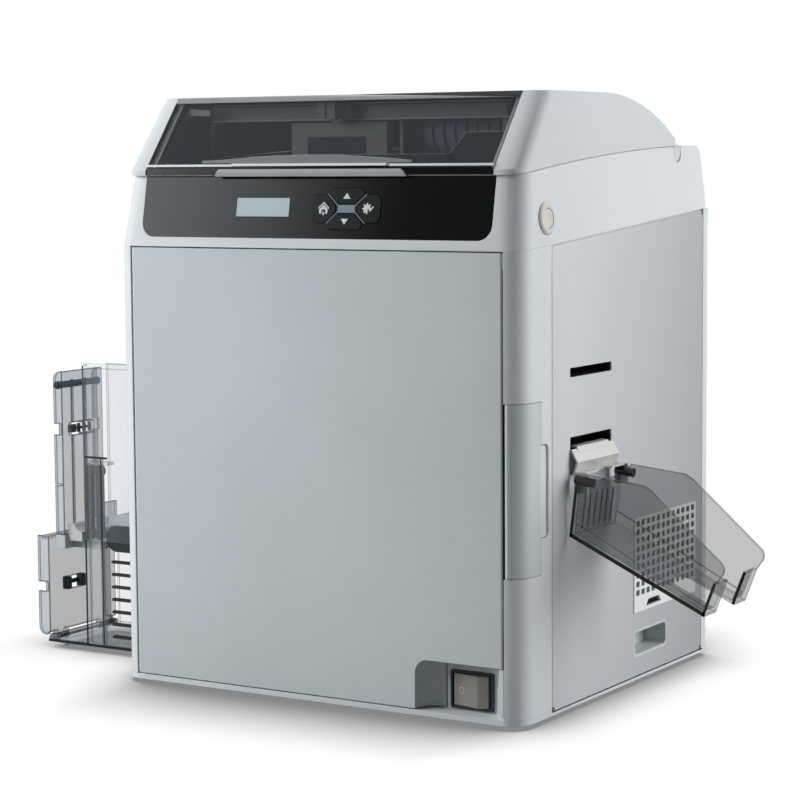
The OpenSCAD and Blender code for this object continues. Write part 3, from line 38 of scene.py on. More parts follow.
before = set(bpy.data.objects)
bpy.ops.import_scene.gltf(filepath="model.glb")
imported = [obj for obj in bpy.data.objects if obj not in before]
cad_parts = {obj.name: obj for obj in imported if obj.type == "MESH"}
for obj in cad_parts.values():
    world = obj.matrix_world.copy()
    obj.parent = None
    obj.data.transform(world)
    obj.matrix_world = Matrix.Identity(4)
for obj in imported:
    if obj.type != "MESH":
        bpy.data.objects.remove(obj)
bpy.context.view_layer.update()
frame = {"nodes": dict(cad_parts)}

# Metres in a millimetre, the reach of each merge in metres, and a kept corner in degrees.
MM = 0.001
WELD = 0.000001
CAD_WELD = 0.00001
CAD_CORNER = 28.0
HOUSING = "housing"
COVER = "cover"

Colour = tuple[float, float, float, float]
Point = tuple[float, float, float]
Outline = list[tuple[float, float]]
Shape = bmesh.types.BMesh
Socket = bpy.types.NodeSocket

WHITE: Colour = (1.0, 1.0, 1.0, 1.0)
BLACK: Colour = (0.0, 0.0, 0.0, 1.0)


class Grain(Enum):
    """Surface texture of a finish: patterns per metre, stretch along X and depth in metres."""

    FINE_SPARK = (1900.0, 1.0, 0.00001)
    POWDER = (900.0, 1.0, 0.000012)
    SMOOTH = (60.0, 1.0, 0.000004)
    BRUSHED = (700.0, 0.05, 0.00001)


def srgb(red: int, green: int, blue: int) -> Colour:
    """Turns a screen colour into the linear colour that a shader takes.

    Args:
        red: Red from 0 to 255.
        green: Green from 0 to 255.
        blue: Blue from 0 to 255.

    Returns:
        The linear colour with an alpha of 1.
    """

    def linear(value: int) -> float:
        """Linear light of one channel."""
        unit = value / 255
        return unit / 12.92 if unit <= 0.04045 else ((unit + 0.055) / 1.055) ** 2.4

    return (linear(red), linear(green), linear(blue), 1.0)


# ------------------------------------------------------------------ node trees
@dataclass
class Tree:
    """A node tree, with short ways to add to it."""

    tree: bpy.types.ShaderNodeTree

    def feed(self, node: bpy.types.Node, inputs: dict[str | int, object]) -> None:
        """Sets inputs of a node to values, or links them to sockets.

        Args:
            node: The node to feed.
            inputs: Value or socket for each input, by name or number.
        """
        for name, value in inputs.items():
            if isinstance(value, Socket):
                self.tree.links.new(value, node.inputs[name])
            else:
                node.inputs[name].default_value = value

    def add(
        self, kind: str, inputs: dict[str | int, object] | None = None, **settings: object
    ) -> bpy.types.Node:
        """Adds a node.

        Args:
            kind: Its type, without the ShaderNode in front.
            inputs: Value or socket for each input, by name or number.
            settings: Its other properties, which are set first.

        Returns:
            The node.
        """
        node = self.tree.nodes.new(f"ShaderNode{kind}")
        for name, value in settings.items():
            setattr(node, name, value)
        self.feed(node, inputs or {})
        return node

    def mix(self, share: Socket, low: Colour, high: Colour) -> Socket:
        """Adds a mix of two colours.

        Args:
            share: Socket from 0 to 1.
            low: Colour at 0.
            high: Colour at 1.

        Returns:
            The socket with the colour.
        """
        node = self.add("Mix", {"A": low, "B": high, "Factor": share}, data_type="RGBA")
        return node.outputs["Result"]

    def spread(
        self,
        value: Socket,
        low: float | Socket = 0.0,
        high: float | Socket = 1.0,
        start: float = 0.0,
        end: float = 1.0,
        kind: str = "LINEAR",
    ) -> Socket:
        """Adds a map from one range to another.

        Args:
            value: Socket to map.
            low: Result at the start of its range.
            high: Result at the end of its range.
            start: Value where the range starts.
            end: Value where it ends.
            kind: How the result runs between its ends.

        Returns:
            The socket with the result.
        """
        ends = {"From Min": start, "From Max": end, "To Min": low, "To Max": high}
        node = self.add("MapRange", {"Value": value, **ends}, interpolation_type=kind)
        return node.outputs["Result"]

    def ease(self, value: Socket, start: float, end: float) -> Socket:
        """Adds a smooth step from 0 at the start to 1 at the end."""
        return self.spread(value, start=start, end=end, kind="SMOOTHSTEP")

    def sum(self, operation: str, first: Socket, second: float | Socket) -> Socket:
        """Adds a sum of two values, by the name of its operation."""
        return self.add("Math", {0: first, 1: second}, operation=operation).outputs[0]

    def axes(self, source: str = "Object") -> list[Socket]:
        """Adds the coordinates of the shaded point, as sockets for X, Y and Z."""
        place = self.add("TexCoord").outputs[source]
        return list(self.add("SeparateXYZ", {"Vector": place}).outputs)

    def noise(self, scale: float, along: float = 1.0) -> Socket:
        """Adds noise on Object coordinates.

        Args:
            scale: Patterns per metre.
            along: Scale of the pattern along X.

        Returns:
            The socket with the noise.
        """
        place = self.add("TexCoord").outputs["Object"]
        stretch = self.add("Mapping", {"Vector": place, "Scale": Vector((along, 1, 1))})
        inputs = {"Vector": stretch.outputs["Vector"], "Scale": scale, "Detail": 3.0}
        return self.add("TexNoise", inputs).outputs["Fac"]


# ------------------------------------------------------------------ finishes
@dataclass(frozen=True)
class Finish:
    """A procedural finish, read on Object coordinates."""

    name: str
    colour: Colour
    roughness: float = 0.45
    metallic: float = 0.0
    grain: Grain = Grain.FINE_SPARK
    tone: float = 0.03
    edge: float = 0.0005
    coat: float = 0.0
    specular: float = 0.5
    coat_roughness: float = 0.05
    mottle: float = 9.0
    noise_range: tuple[float, float] = (0.3, 0.7)
    rough_change: float = 0.12
    bump: float = 0.6

    def nodes(self) -> tuple[bpy.types.Material, Tree, bpy.types.Node]:
        """Makes a material with one Principled shader.

        Returns:
            The material, its node tree and the shader.
        """
        material = bpy.data.materials.new(self.name)
        material.use_nodes = True
        tree = Tree(material.node_tree)
        shader = material.node_tree.nodes["Principled BSDF"]
        tree.feed(shader, {
            "Metallic": self.metallic, "Coat Weight": self.coat,
            "Coat Roughness": self.coat_roughness, "Specular IOR Level": self.specular,
        })
        return material, tree, shader

    def tint(self, tree: Tree) -> Socket:
        """Varies the colour a little over the surface.

        Args:
            tree: The tree to add to.

        Returns:
            The socket with the colour.
        """
        start, end = self.noise_range
        share = tree.spread(tree.noise(self.mottle), start=start, end=end)
        pale = [min(1.0, channel * (1 + self.tone)) for channel in self.colour[:3]]
        deep = [channel * (1 - self.tone) for channel in self.colour[:3]]
        return tree.mix(share, (*deep, 1.0), (*pale, 1.0))

    def texture(self, tree: Tree, shader: bpy.types.Node) -> None:
        """Adds the fine surface texture and the soft edges.

        Args:
            tree: The tree to add to.
            shader: The shader that shows them.
        """
        scale, along, depth = self.grain.value
        fine = tree.noise(scale, along)
        smoothest = self.roughness * (1 - self.rough_change)
        roughest = min(1.0, self.roughness * (1 + self.rough_change))
        rough = tree.spread(fine, smoothest, roughest, *self.noise_range)
        bump = tree.add("Bump", {"Distance": depth, "Strength": self.bump, "Height": fine})
        if self.edge > 0:
            soft = tree.add("Bevel", {"Radius": self.edge}, samples=4)
            tree.feed(bump, {"Normal": soft.outputs["Normal"]})
        tree.feed(shader, {"Roughness": rough, "Normal": bump.outputs["Normal"]})

    def material(self) -> bpy.types.Material:
        """Builds the material.

        Returns:
            The finished material.
        """
        material, tree, shader = self.nodes()
        tree.feed(shader, {"Base Color": self.tint(tree)})
        self.texture(tree, shader)
        return material


@dataclass(frozen=True)
class ClearFinish(Finish):
    """Clear or smoked moulded plastic: thin at its faces, dense at its edges and at a glance, with its
    edges painted in the rim colour: painted refraction shade where it is dark, a painted highlight
    where it is pale.
    """

    alpha: float = 0.3
    # Edge colour painted in for refraction: shade when dark, a highlight when pale.
    rim: Colour = srgb(88, 97, 102)
    rim_alpha: float = 0.8
    rim_width: float = 0.001
    rim_range: tuple[float, float] = (0.99, 0.86)
    glance: float = 0.35
    glance_blend: float = 0.25
    index: float = 1.49

    def edge_mask(self, tree: Tree) -> Socket:
        """Adds a value that rises from 0 on the faces to 1 at the edges.

        Args:
            tree: The tree to add to.

        Returns:
            The socket with the mask.
        """
        soft = tree.add("Bevel", {"Radius": self.rim_width}, samples=6).outputs["Normal"]
        flat = tree.add("NewGeometry").outputs["Normal"]
        match = tree.add("VectorMath", {0: soft, 1: flat}, operation="DOT_PRODUCT")
        start, end = self.rim_range
        return tree.spread(match.outputs["Value"], start=start, end=end)

    def material(self) -> bpy.types.Material:
        """Builds the see-through material.

        Returns:
            The finished material.
        """
        material, tree, shader = self.nodes()
        mask = self.edge_mask(tree)
        facing = tree.add("LayerWeight", {"Blend": self.glance_blend}).outputs["Facing"]
        dense = tree.spread(facing, self.alpha, min(1.0, self.alpha + self.glance))
        tree.feed(shader, {
            "Roughness": self.roughness, "IOR": self.index,
            # Painted edge colour: the rim stands in for refraction shade and highlights.
            "Base Color": tree.mix(mask, self.colour, self.rim),
            "Alpha": tree.spread(mask, dense, self.rim_alpha),
        })
        return material


@dataclass(frozen=True)
class PaintedShadeFinish(Finish):
    """A finish with painted shade: its colour darkens towards the foot and the back of the case."""

    # Share of the colour left at the foot and at the back, where shade is painted in.
    foot: float = 0.94
    top_z: float = 0.3
    back: float = 0.64
    front_y: float = -0.07
    back_y: float = 0.13

    def tint(self, tree: Tree) -> Socket:
        """Paints shade into the colour, darkening it towards the foot and the back.

        Args:
            tree: The tree to add to.

        Returns:
            The socket with the colour.
        """
        _, to_back, height = tree.axes()
        from_foot = tree.spread(height, self.foot, 1.0, 0.0, self.top_z)
        from_front = tree.spread(to_back, 1.0, self.back, self.front_y, self.back_y)
        return tree.mix(tree.sum("MULTIPLY", from_foot, from_front), BLACK, self.colour)


@dataclass(frozen=True)
class FinishSet:
    """Every finish of the printer, by the part that wears it."""

    white: Finish = Finish("white_moulding", srgb(207, 213, 217), 0.42)
    cover: Finish = Finish("cover_moulding", srgb(199, 205, 209), 0.4)
    door: Finish = Finish("door_moulding", srgb(196, 206, 210), 0.38)
    column: Finish = Finish("column_moulding", srgb(212, 220, 224), 0.36)
    # The side panels' steel has painted shade that darkens it towards the foot and the back.
    steel: PaintedShadeFinish = PaintedShadeFinish("coated_steel", srgb(205, 209, 212), 0.5, grain=Grain.POWDER)
    gloss: Finish = Finish(
        "black_gloss", srgb(10, 12, 12), 0.06, grain=Grain.SMOOTH, coat=0.6, edge=0.0003
    )
    key: Finish = Finish("key_gloss", srgb(13, 15, 15), 0.16, grain=Grain.SMOOTH, edge=0.0005)
    mark: Finish = Finish("key_mark", srgb(205, 212, 214), 0.4, grain=Grain.SMOOTH, edge=0.0)
    lcd: Finish = Finish("display_glass", srgb(170, 188, 192), 0.2, grain=Grain.SMOOTH)
    light: Finish = Finish("key_light", srgb(120, 133, 150), 0.25, grain=Grain.SMOOTH)
    # Dark finish of the dark mouldings, also used as the painted shade of the panel's recess behind the
    # window.
    dark: Finish = Finish("dark_moulding_and_recess_shade", srgb(46, 49, 51), 0.5)
    insert: Finish = Finish("cup_moulding", srgb(196, 205, 207), 0.45)
    lever: Finish = Finish("lever_moulding", srgb(70, 66, 63), 0.4)
    rocker: Finish = Finish("rocker_moulding", srgb(138, 134, 129), 0.34)
    rubber: Finish = Finish("rubber", srgb(26, 26, 27), 0.8)
    # The dark rims below paint the shade that refraction gives clear edges; the pale rim of the haze
    # paints a highlight.
    smoked: ClearFinish = ClearFinish(
        "smoked_window", srgb(68, 77, 83), 0.04, alpha=0.28, rim=srgb(12, 15, 16), rim_alpha=0.95,
        rim_width=0.0016, glance=0.2,
    )
    clear: ClearFinish = ClearFinish(
        "clear_hopper", srgb(170, 186, 196), 0.05, alpha=0.06, rim=srgb(34, 40, 44), rim_alpha=0.9,
        rim_width=0.0011, glance=0.45,
    )
    tower: ClearFinish = ClearFinish(
        "smoke_tower", srgb(104, 124, 140), 0.06, alpha=0.27, rim=srgb(24, 30, 35), rim_alpha=0.97,
        rim_width=0.0016,
    )
    tray: ClearFinish = ClearFinish(
        "smoke_tray", srgb(104, 110, 113), 0.05, alpha=0.26, rim=srgb(32, 38, 41), rim_alpha=0.92,
        rim_width=0.0011,
    )
    haze: ClearFinish = ClearFinish(
        "grip_haze", srgb(146, 152, 157), 0.1, alpha=0.34, rim=srgb(200, 205, 208), rim_alpha=0.7,
        rim_width=0.0004,
    )
    bright: Finish = Finish(
        "bright_steel", srgb(200, 200, 198), 0.28, 1.0, grain=Grain.BRUSHED, edge=0.0002
    )
    sheet: Finish = Finish(
        "plated_sheet", srgb(208, 208, 206), 0.36, 0.35, grain=Grain.BRUSHED, edge=0.0002
    )
    frame: Finish = Finish(
        "chassis_sheet", srgb(120, 123, 126), 0.4, 0.7, grain=Grain.BRUSHED, edge=0.0002
    )
    pale: Finish = Finish("pale_moulding", srgb(188, 194, 197), 0.45)
    board: Finish = Finish("solder_mask", srgb(20, 84, 50), 0.3, grain=Grain.SMOOTH)
    film: Finish = Finish("film", srgb(142, 146, 160), 0.35, grain=Grain.SMOOTH)
    cassette: Finish = Finish("cassette_moulding", srgb(148, 144, 140), 0.5)
    # Dark finish of inner mouldings, also used as painted shade inside the cover and on the step behind
    # the window.
    dim: Finish = Finish("inner_moulding_and_painted_shade", srgb(40, 46, 49), 0.4)
    # Pale finish of the left rail, also used for the painted highlights along the step, the sill and
    # the bars behind the window.
    rail: Finish = Finish("rail_moulding_and_painted_highlight", srgb(176, 183, 185), 0.4)
    # Pale finish that paints highlights: the ridge along the window's foot and the lip of the grip.
    painted_highlight: Finish = Finish("painted_edge_highlight", srgb(222, 226, 230), 0.2, grain=Grain.SMOOTH, edge=0.0)
    ledge: Finish = Finish("grip_moulding", srgb(158, 163, 168), 0.25, grain=Grain.SMOOTH)
    grille: Finish = Finish("grille_moulding", srgb(228, 232, 234), 0.42)
    release: Finish = Finish("release_moulding", srgb(208, 206, 201), 0.45)
    seam: Finish = Finish("seam_shadow", srgb(9, 10, 11), 0.9, grain=Grain.SMOOTH, specular=0.1)
    # Dark strips laid on clear walls seen edge on: painted shade in place of refraction.
    outline: Finish = Finish(
        "edge_on_acrylic_shade", srgb(34, 40, 43), 0.12, grain=Grain.SMOOTH, edge=0.0
    )
    ribbon: Finish = Finish("ribbon", srgb(34, 32, 44), 0.2, grain=Grain.SMOOTH)
    alloy: Finish = Finish("extruded_alloy", srgb(150, 153, 156), 0.35, 0.9, grain=Grain.BRUSHED)


FINISHES = FinishSet()

NODE_FINISH: dict[str, tuple[str, ...]] = {
    "white": ("upper_housing",),
    "release": ("release_button", "release_ring"),
    "grille": ("vent_grille",),
    "cover": ("top_cover", "cover_grip"),
    "door": ("front_door", "door_handle"),
    "column": ("left_column", "right_column", "switch_housing", "rear_panel", "base_tray"),
    "steel": ("left_side_panel", "right_side_panel"),
    "gloss": ("control_panel",),
    "key": ("up_key", "down_key", "home_key", "confirm_key"),
    "lcd": ("display_window",),
    "light": ("key_light_bar",),
    "dark": (
        "slot_guides", "feed_bed", "stack_comb", "ribbon_cassette", "cooling_fan", "fan_rotor",
        "power_inlet", "hopper_rod", "door_clip", "drive_motor", "power_bezel",
    ),
    "lever": ("guard_lever",),
    "insert": ("carry_cups",),
    "rocker": ("power_rocker",),
    "rubber": ("rubber_feet", "platen_roller", "feed_roller"),
    "smoked": ("cover_window",),
    "clear": ("hopper_frame",),
    "tower": ("hopper_end_wall", "hopper_door"),
    "tray": ("output_tray",),
    "bright": ("door_hinge_pins", "handle_pins", "cover_hinge_pins", "hopper_door_pin"),
    "sheet": ("output_bracket", "power_supply"),
    "frame": ("inner_chassis",),
    "pale": ("hopper_deck", "feed_plate"),
    "board": ("control_board", "main_board"),
    "film": ("film_roll",),
    "cassette": ("film_cassette",),
    "ribbon": ("ribbon_supply", "ribbon_takeup"),
    "alloy": ("print_head",),
}


@dataclass
class Wardrobe:
    """Makes each finish once and dresses pieces with it."""

    made: dict[str, bpy.types.Material] = field(default_factory=dict)

    def get(self, name: str) -> bpy.types.Material:
        """Gives the material of a finish.

        Args:
            name: The finish's field name in FinishSet.

        Returns:
            Its material, made on first use.
        """
        if name not in self.made:
            self.made[name] = getattr(FINISHES, name).material()
        return self.made[name]

    def dress_frame(self) -> None:
        """Gives every CAD node its finish and smooth round faces."""
        for finish, nodes in NODE_FINISH.items():
            for name in nodes:
                piece = frame["nodes"][name]
                for slot in piece.material_slots:
                    slot.material = self.get(finish)
                smooth_cad(piece)
        log.info("dressed %d CAD nodes", sum(len(nodes) for nodes in NODE_FINISH.values()))


def smooth_cad(piece: bpy.types.Object) -> None:
    """Shades the round faces of a CAD mesh smooth and keeps its corners sharp.

    Args:
        piece: The object with the mesh.
    """
    for polygon in piece.data.polygons:
        polygon.use_smooth = True
    weld = piece.modifiers.new("join", "WELD")
    weld.merge_threshold = CAD_WELD
    split = piece.modifiers.new("corners", "EDGE_SPLIT")
    split.split_angle = math.radians(CAD_CORNER)


# ------------------------------------------------------------------ places on the printer
@dataclass(frozen=True)
class Axes:
    """Turns places measured from the door, the case's middle and the desk into frame places."""

    middle_x: float = field(default_factory=lambda: sum(x for x, _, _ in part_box("front_door")) / 2)
    front_y: float = field(default_factory=lambda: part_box("front_door")[0][1])
    depth: float = 276.0
    seam_z: float = 297.0
    face_lean: float = 10.5

    def at(self, x: float, y: float, z: float) -> Vector:
        """Frame place of a point given in millimetres."""
        return Vector((self.middle_x + x * MM, self.front_y + y * MM, z * MM))

    def leaning_face(self, x: float, up: float, out: float = 0.0) -> Matrix:
        """Place on the leaning control face.

        Args:
            x: Distance right of the middle in millimetres.
            up: Distance up the face from the seam in millimetres.
            out: Distance out of the face in millimetres.

        Returns:
            A frame with X to the right, Y up the face and Z outwards.
        """
        foot = Matrix.Translation(self.at(0, 0, self.seam_z))
        turn = Matrix.Rotation(math.pi / 2 - math.radians(self.face_lean), 4, "X")
        return foot @ turn @ Matrix.Translation(Vector((x, up, out)) * MM)

    def back_face(self, x: float, z: float, out: float = 0.0) -> Matrix:
        """Place on the rear panel, in millimetres, with Z outwards and Y up."""
        turn = Matrix(((-1, 0, 0, 0), (0, 0, 1, 0), (0, 1, 0, 0), (0, 0, 0, 1)))
        return Matrix.Translation(self.at(x, self.depth + out, z)) @ turn


AXES = Axes()


# ------------------------------------------------------------------ mesh helpers
def show(name: str, data: bpy.types.ID) -> bpy.types.Object:
    """Puts a new object in the scene.

    Args:
        name: Its name.
        data: Its mesh, lamp or camera.

    Returns:
        The object.
    """
    item = bpy.data.objects.new(name, data)
    bpy.context.scene.collection.objects.link(item)
    return item


def stand(name: str, shape: Shape) -> bpy.types.Object:
    """Puts a shape in the scene.

    Args:
        name: Name of its mesh and its object.
        shape: The shape, which is freed.

    Returns:
        The object.
    """
    mesh = bpy.data.meshes.new(name)
    shape.to_mesh(mesh)
    shape.free()
    return show(name, mesh)


def bar(shape: Shape, low: Vector, high: Vector, soften: float = 0.0) -> None:
    """Adds a box between two corners.

    Args:
        shape: The mesh to add to.
        low: Lowest corner in metres.
        high: Highest corner in metres.
        soften: Radius of its edges in metres.
    """
    place = Matrix.Translation((low + high) / 2) @ Matrix.Diagonal((*(high - low), 1.0))
    corners = bmesh.ops.create_cube(shape, size=1.0, matrix=place)["verts"]
    if soften > 0:
        edges = list({edge for corner in corners for edge in corner.link_edges})
        bmesh.ops.bevel(
            shape, geom=edges, offset=soften, offset_type="OFFSET", segments=2, profile=0.5,
            affect="EDGES", material=-1,
        )


def plate(outline: Outline, thick: float) -> Shape:
    """Makes a flat plate with a drawn outline, standing on local z = 0.

    Args:
        outline: Its corners in millimetres, in order.
        thick: Its thickness in millimetres.

    Returns:
        The plate's shape.
    """
    shape = bmesh.new()
    face = shape.faces.new([shape.verts.new((x * MM, y * MM, 0.0)) for x, y in outline])
    raised = bmesh.ops.extrude_face_region(shape, geom=[face])["geom"]
    lifted = [item for item in raised if isinstance(item, bmesh.types.BMVert)]
    bmesh.ops.translate(shape, vec=Vector((0, 0, thick * MM)), verts=lifted)
    return shape


def loft(rows: list[list[Vector]]) -> Shape:
    """Joins rows of corners, which all run the same way round, into one closed shape.

    Args:
        rows: Corners of each row, in metres.

    Returns:
        The closed shape.
    """
    shape = bmesh.new()
    rings = [[shape.verts.new(corner) for corner in row] for row in rows]
    for near, far in zip(rings, rings[1:]):
        for corner in range(len(near)):
            shape.faces.new((near[corner - 1], near[corner], far[corner], far[corner - 1]))
    shape.faces.new(rings[0])
    shape.faces.new(rings[-1][::-1])
    bmesh.ops.recalc_face_normals(shape, faces=shape.faces)
    return shape


def turned(profile: Outline, sides: int = 32) -> Shape:
    """Turns a profile about local Z.

    Args:
        profile: Radius and height of each point, in millimetres.
        sides: Number of its flats.

    Returns:
        The turned shape.
    """
    shape = bmesh.new()
    verts = [shape.verts.new((radius * MM, 0.0, height * MM)) for radius, height in profile]
    edges = [shape.edges.new(pair) for pair in zip(verts, verts[1:])]
    bmesh.ops.spin(
        shape, geom=[*verts, *edges], cent=(0, 0, 0), axis=(0, 0, 1), angle=math.tau,
        steps=sides, use_merge=True,
    )
    bmesh.ops.remove_doubles(shape, verts=shape.verts, dist=WELD)
    return shape


@dataclass
class Shop:
    """Turns shapes into finished pieces."""

    wardrobe: Wardrobe

    def piece(
        self,
        name: str,
        shape: Shape,
        finish: str,
        body: str = HOUSING,
        place: Matrix | None = None,
        smooth: bool = False,
    ) -> bpy.types.Object:
        """Makes an object of a shape, dresses it and lets it ride on a body.

        Args:
            name: The piece's name.
            shape: Its shape, which is freed.
            finish: The finish's field name.
            body: The CAD body that it rides on.
            place: Where the shape goes, in the row's frame.
            smooth: Whether its faces are shaded smooth.

        Returns:
            The finished object.
        """
        if place is not None:
            bmesh.ops.transform(shape, matrix=place, verts=shape.verts)
        bmesh.ops.remove_doubles(shape, verts=shape.verts, dist=WELD)
        bmesh.ops.recalc_face_normals(shape, faces=shape.faces)
        piece = stand(name, shape)
        for polygon in piece.data.polygons:
            polygon.use_smooth = smooth
        piece.data.materials.append(self.wardrobe.get(finish))
        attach(piece, body)
        log.info("made %s", name)
        return piece

    def bars(
        self,
        name: str,
        boxes: list[tuple[Point, Point]],
        finish: str,
        body: str = HOUSING,
        soften: float = 0.0,
    ) -> None:
        """Makes one piece of straight bars.

        Args:
            name: The piece's name.
            boxes: Lowest and highest corner of each bar, in millimetres.
            finish: The finish's field name.
            body: The CAD body that it rides on.
            soften: Radius of their edges in millimetres.
        """
        shape = bmesh.new()
        for low, high in boxes:
            bar(shape, AXES.at(*low), AXES.at(*high), soften * MM)
        self.piece(name, shape, finish, body)


# ------------------------------------------------------------------ control panel
@dataclass
class KeyPad:
    """Signs on the four keys of the pad."""

    shop: Shop
    pad_x: float = 26.8
    pad_y: float = 25.9
    key_top: float = 0.5
    thick: float = 0.08
    cog_teeth: int = 7
    cog_places: int = 8
    cog_inner: float = 2.4
    cog_outer: float = 3.5

    def sign(self, name: str, outline: Outline, body: str, spot: tuple[float, float]) -> None:
        """Lays a flat sign on a key.

        Args:
            name: The piece's name.
            outline: Its corners in millimetres.
            body: The key's body.
            spot: Its middle from the middle of the pad, in millimetres.
        """
        place = AXES.leaning_face(self.pad_x + spot[0], self.pad_y + spot[1], self.key_top)
        self.shop.piece(name, plate(outline, self.thick), "mark", body, place)

    def arrows(self) -> None:
        """Makes the arrows of the up and down keys."""
        arrow = [(-2.7, -1.85), (2.7, -1.85), (0, 1.85)]
        self.sign("up_sign", arrow, "key_up", (0, 8.3))
        self.sign("down_sign", [(-x, -y) for x, y in arrow], "key_down", (-0.4, -8.3))

    def home(self) -> None:
        """Makes the roof, the walls and the pointer of the home key."""
        roof = [(-4.3, 0.5), (0, 4.4), (4.3, 0.5), (3.8, -0.1), (0, 3.3), (-3.8, -0.1)]
        walls = [
            (0, 2.5), (3.2, -0.3), (3.2, -2.0), (2.9, -3.2), (1.5, -3.2), (1.5, -1.2), (0.9, -0.5),
            (-0.9, -0.5), (-1.5, -1.2), (-1.5, -3.2), (-2.9, -3.2), (-3.2, -2.0), (-3.2, -0.3),
        ]
        pointer = [(-0.8, -1.6), (0.8, -2.5), (0.9, -3.6), (0.2, -4.5), (-0.5, -3.6), (-0.3, -2.8)]
        for name, outline in (("roof", roof), ("walls", walls), ("pointer", pointer)):
            self.sign(f"home_{name}", outline, "key_home", (-16.9, 0))

    def confirm(self) -> None:
        """Makes the cog, with a gap for the tick, and the tick of the confirm key."""
        inner, outer = self.cog_inner, self.cog_outer
        cog = [(0.5, -0.3)]
        for tooth in range(self.cog_teeth):
            for part, radius in ((-0.3, inner), (-0.2, outer), (0.2, outer), (0.3, inner)):
                turn = math.tau * (tooth + part) / self.cog_places
                cog.append((radius * math.cos(turn), radius * math.sin(turn)))
        tick = [(0.9, 0.0), (1.4, 0.5), (2.2, -0.8), (4.6, 1.5), (5.0, 1.0), (2.2, -2.1)]
        for name, outline in (("cog", cog), ("tick", tick)):
            self.sign(f"{name}_sign", outline, "key_confirm", (15.8, 0.2))

    def build(self) -> None:
        """Makes every sign."""
        self.arrows()
        self.home()
        self.confirm()


@dataclass
class Display:
    """Frame line of the display."""

    shop: Shop
    centre_x: float = -37.5
    centre_y: float = 26.7
    width: float = 41.9
    height: float = 12.8
    line: float = 0.35
    proud: float = 0.05

    def build(self) -> None:
        """Makes the thin frame round the display."""
        rim = bmesh.new()
        x, y, line = self.width / 2, self.height / 2, self.line
        for left, foot, right, top in (
            (-x, -y, x, -y + line), (-x, y - line, x, y), (-x, -y, -x + line, y), (x - line, -y, x, y)
        ):
            bar(rim, Vector((left, foot, 0)) * MM, Vector((right, top, self.proud)) * MM)
        place = AXES.leaning_face(self.centre_x, self.centre_y)
        self.shop.piece("display_rim", rim, "dark", HOUSING, place)


# ------------------------------------------------------------------ cover window
@dataclass
class CoverShell:
    """The cover, with its opening cut right through behind the glass and painted shade on the faces
    inside.
    """

    shop: Shop
    ledge: float = 4.5
    foot_rise: float = 3.1
    brow_inset: float = 4.0
    side_wall: float = 1.5
    margin: float = 0.4
    dark_foot: float = 2.6
    level: float = 0.5

    def glass(self) -> tuple[Vector, Vector]:
        """Lower left and upper right corner of the sloping glass, in millimetres."""
        low, high = (Vector(corner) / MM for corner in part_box("cover_window"))
        return low + Vector((0, 0, self.foot_rise)), high - Vector((0, self.brow_inset, 0))

    def cutter(self) -> Shape:
        """Makes the prism that opens the cover behind the glass.

        Returns:
            The prism's shape.
        """
        foot, brow = self.glass()
        outline = [
            *((foot.y + y, foot.z + z) for y, z in ((1.6, -3.8), (1.6, -0.8))),
            *((brow.y + y, brow.z + z) for y, z in ((0.8, -2), (3.8, -2), (3.8, -3.6), (3, -3.6))),
            *((foot.y + y, foot.z + z) for y, z in ((4.6, -1.4), (4.6, -3.8))),
        ]
        ends = (foot.x + self.ledge, brow.x - self.ledge)
        return loft([[Vector((x, y, z)) * MM for y, z in outline] for x in ends])

    def opened(self) -> Shape:
        """Cuts the opening into a copy of the CAD cover.

        Returns:
            The opened shape.
        """
        shape = bmesh.new()
        shape.from_mesh(frame["nodes"]["top_cover"].data)
        bmesh.ops.remove_doubles(shape, verts=shape.verts, dist=CAD_WELD)
        whole = stand("whole_cover", shape)
        prism = stand("opening", self.cutter())
        cut = whole.modifiers.new("opening", "BOOLEAN")
        cut.operation = "DIFFERENCE"
        cut.solver = "EXACT"
        cut.object = prism
        shape = bmesh.new()
        shape.from_object(whole, bpy.context.evaluated_depsgraph_get())
        for item in (whole, prism):
            bpy.data.objects.remove(item)
        return shape

    def darken(self, mesh: bpy.types.Mesh) -> None:
        """Paints shade on the faces inside the cover by giving them the second, dark finish.

        Args:
            mesh: The opened cover.
        """
        foot, brow = self.glass()
        slope = Vector((0, brow.y - foot.y, brow.z - foot.z)).normalized()
        inwards = Vector((0, slope.z, -slope.y))
        middle_x = AXES.middle_x / MM
        for face in mesh.polygons:
            spot = face.center / MM
            behind = (spot - foot).dot(inwards) > self.margin
            between = foot.z - self.dark_foot < spot.z < brow.z - self.margin
            beside = abs(spot.x - middle_x) < brow.x - middle_x + self.side_wall
            if behind and between and beside and face.normal.z < self.level:
                face.material_index = 1

    def build(self) -> None:
        """Makes the opened cover and shows it for the CAD cover."""
        piece = self.shop.piece("cover_moulding", self.opened(), "cover", COVER)
        # The dark second material is painted shade for the faces inside the cover.
        piece.data.materials.append(self.shop.wardrobe.get("dim"))
        self.darken(piece.data)
        smooth_cad(piece)
        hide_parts("top_cover")


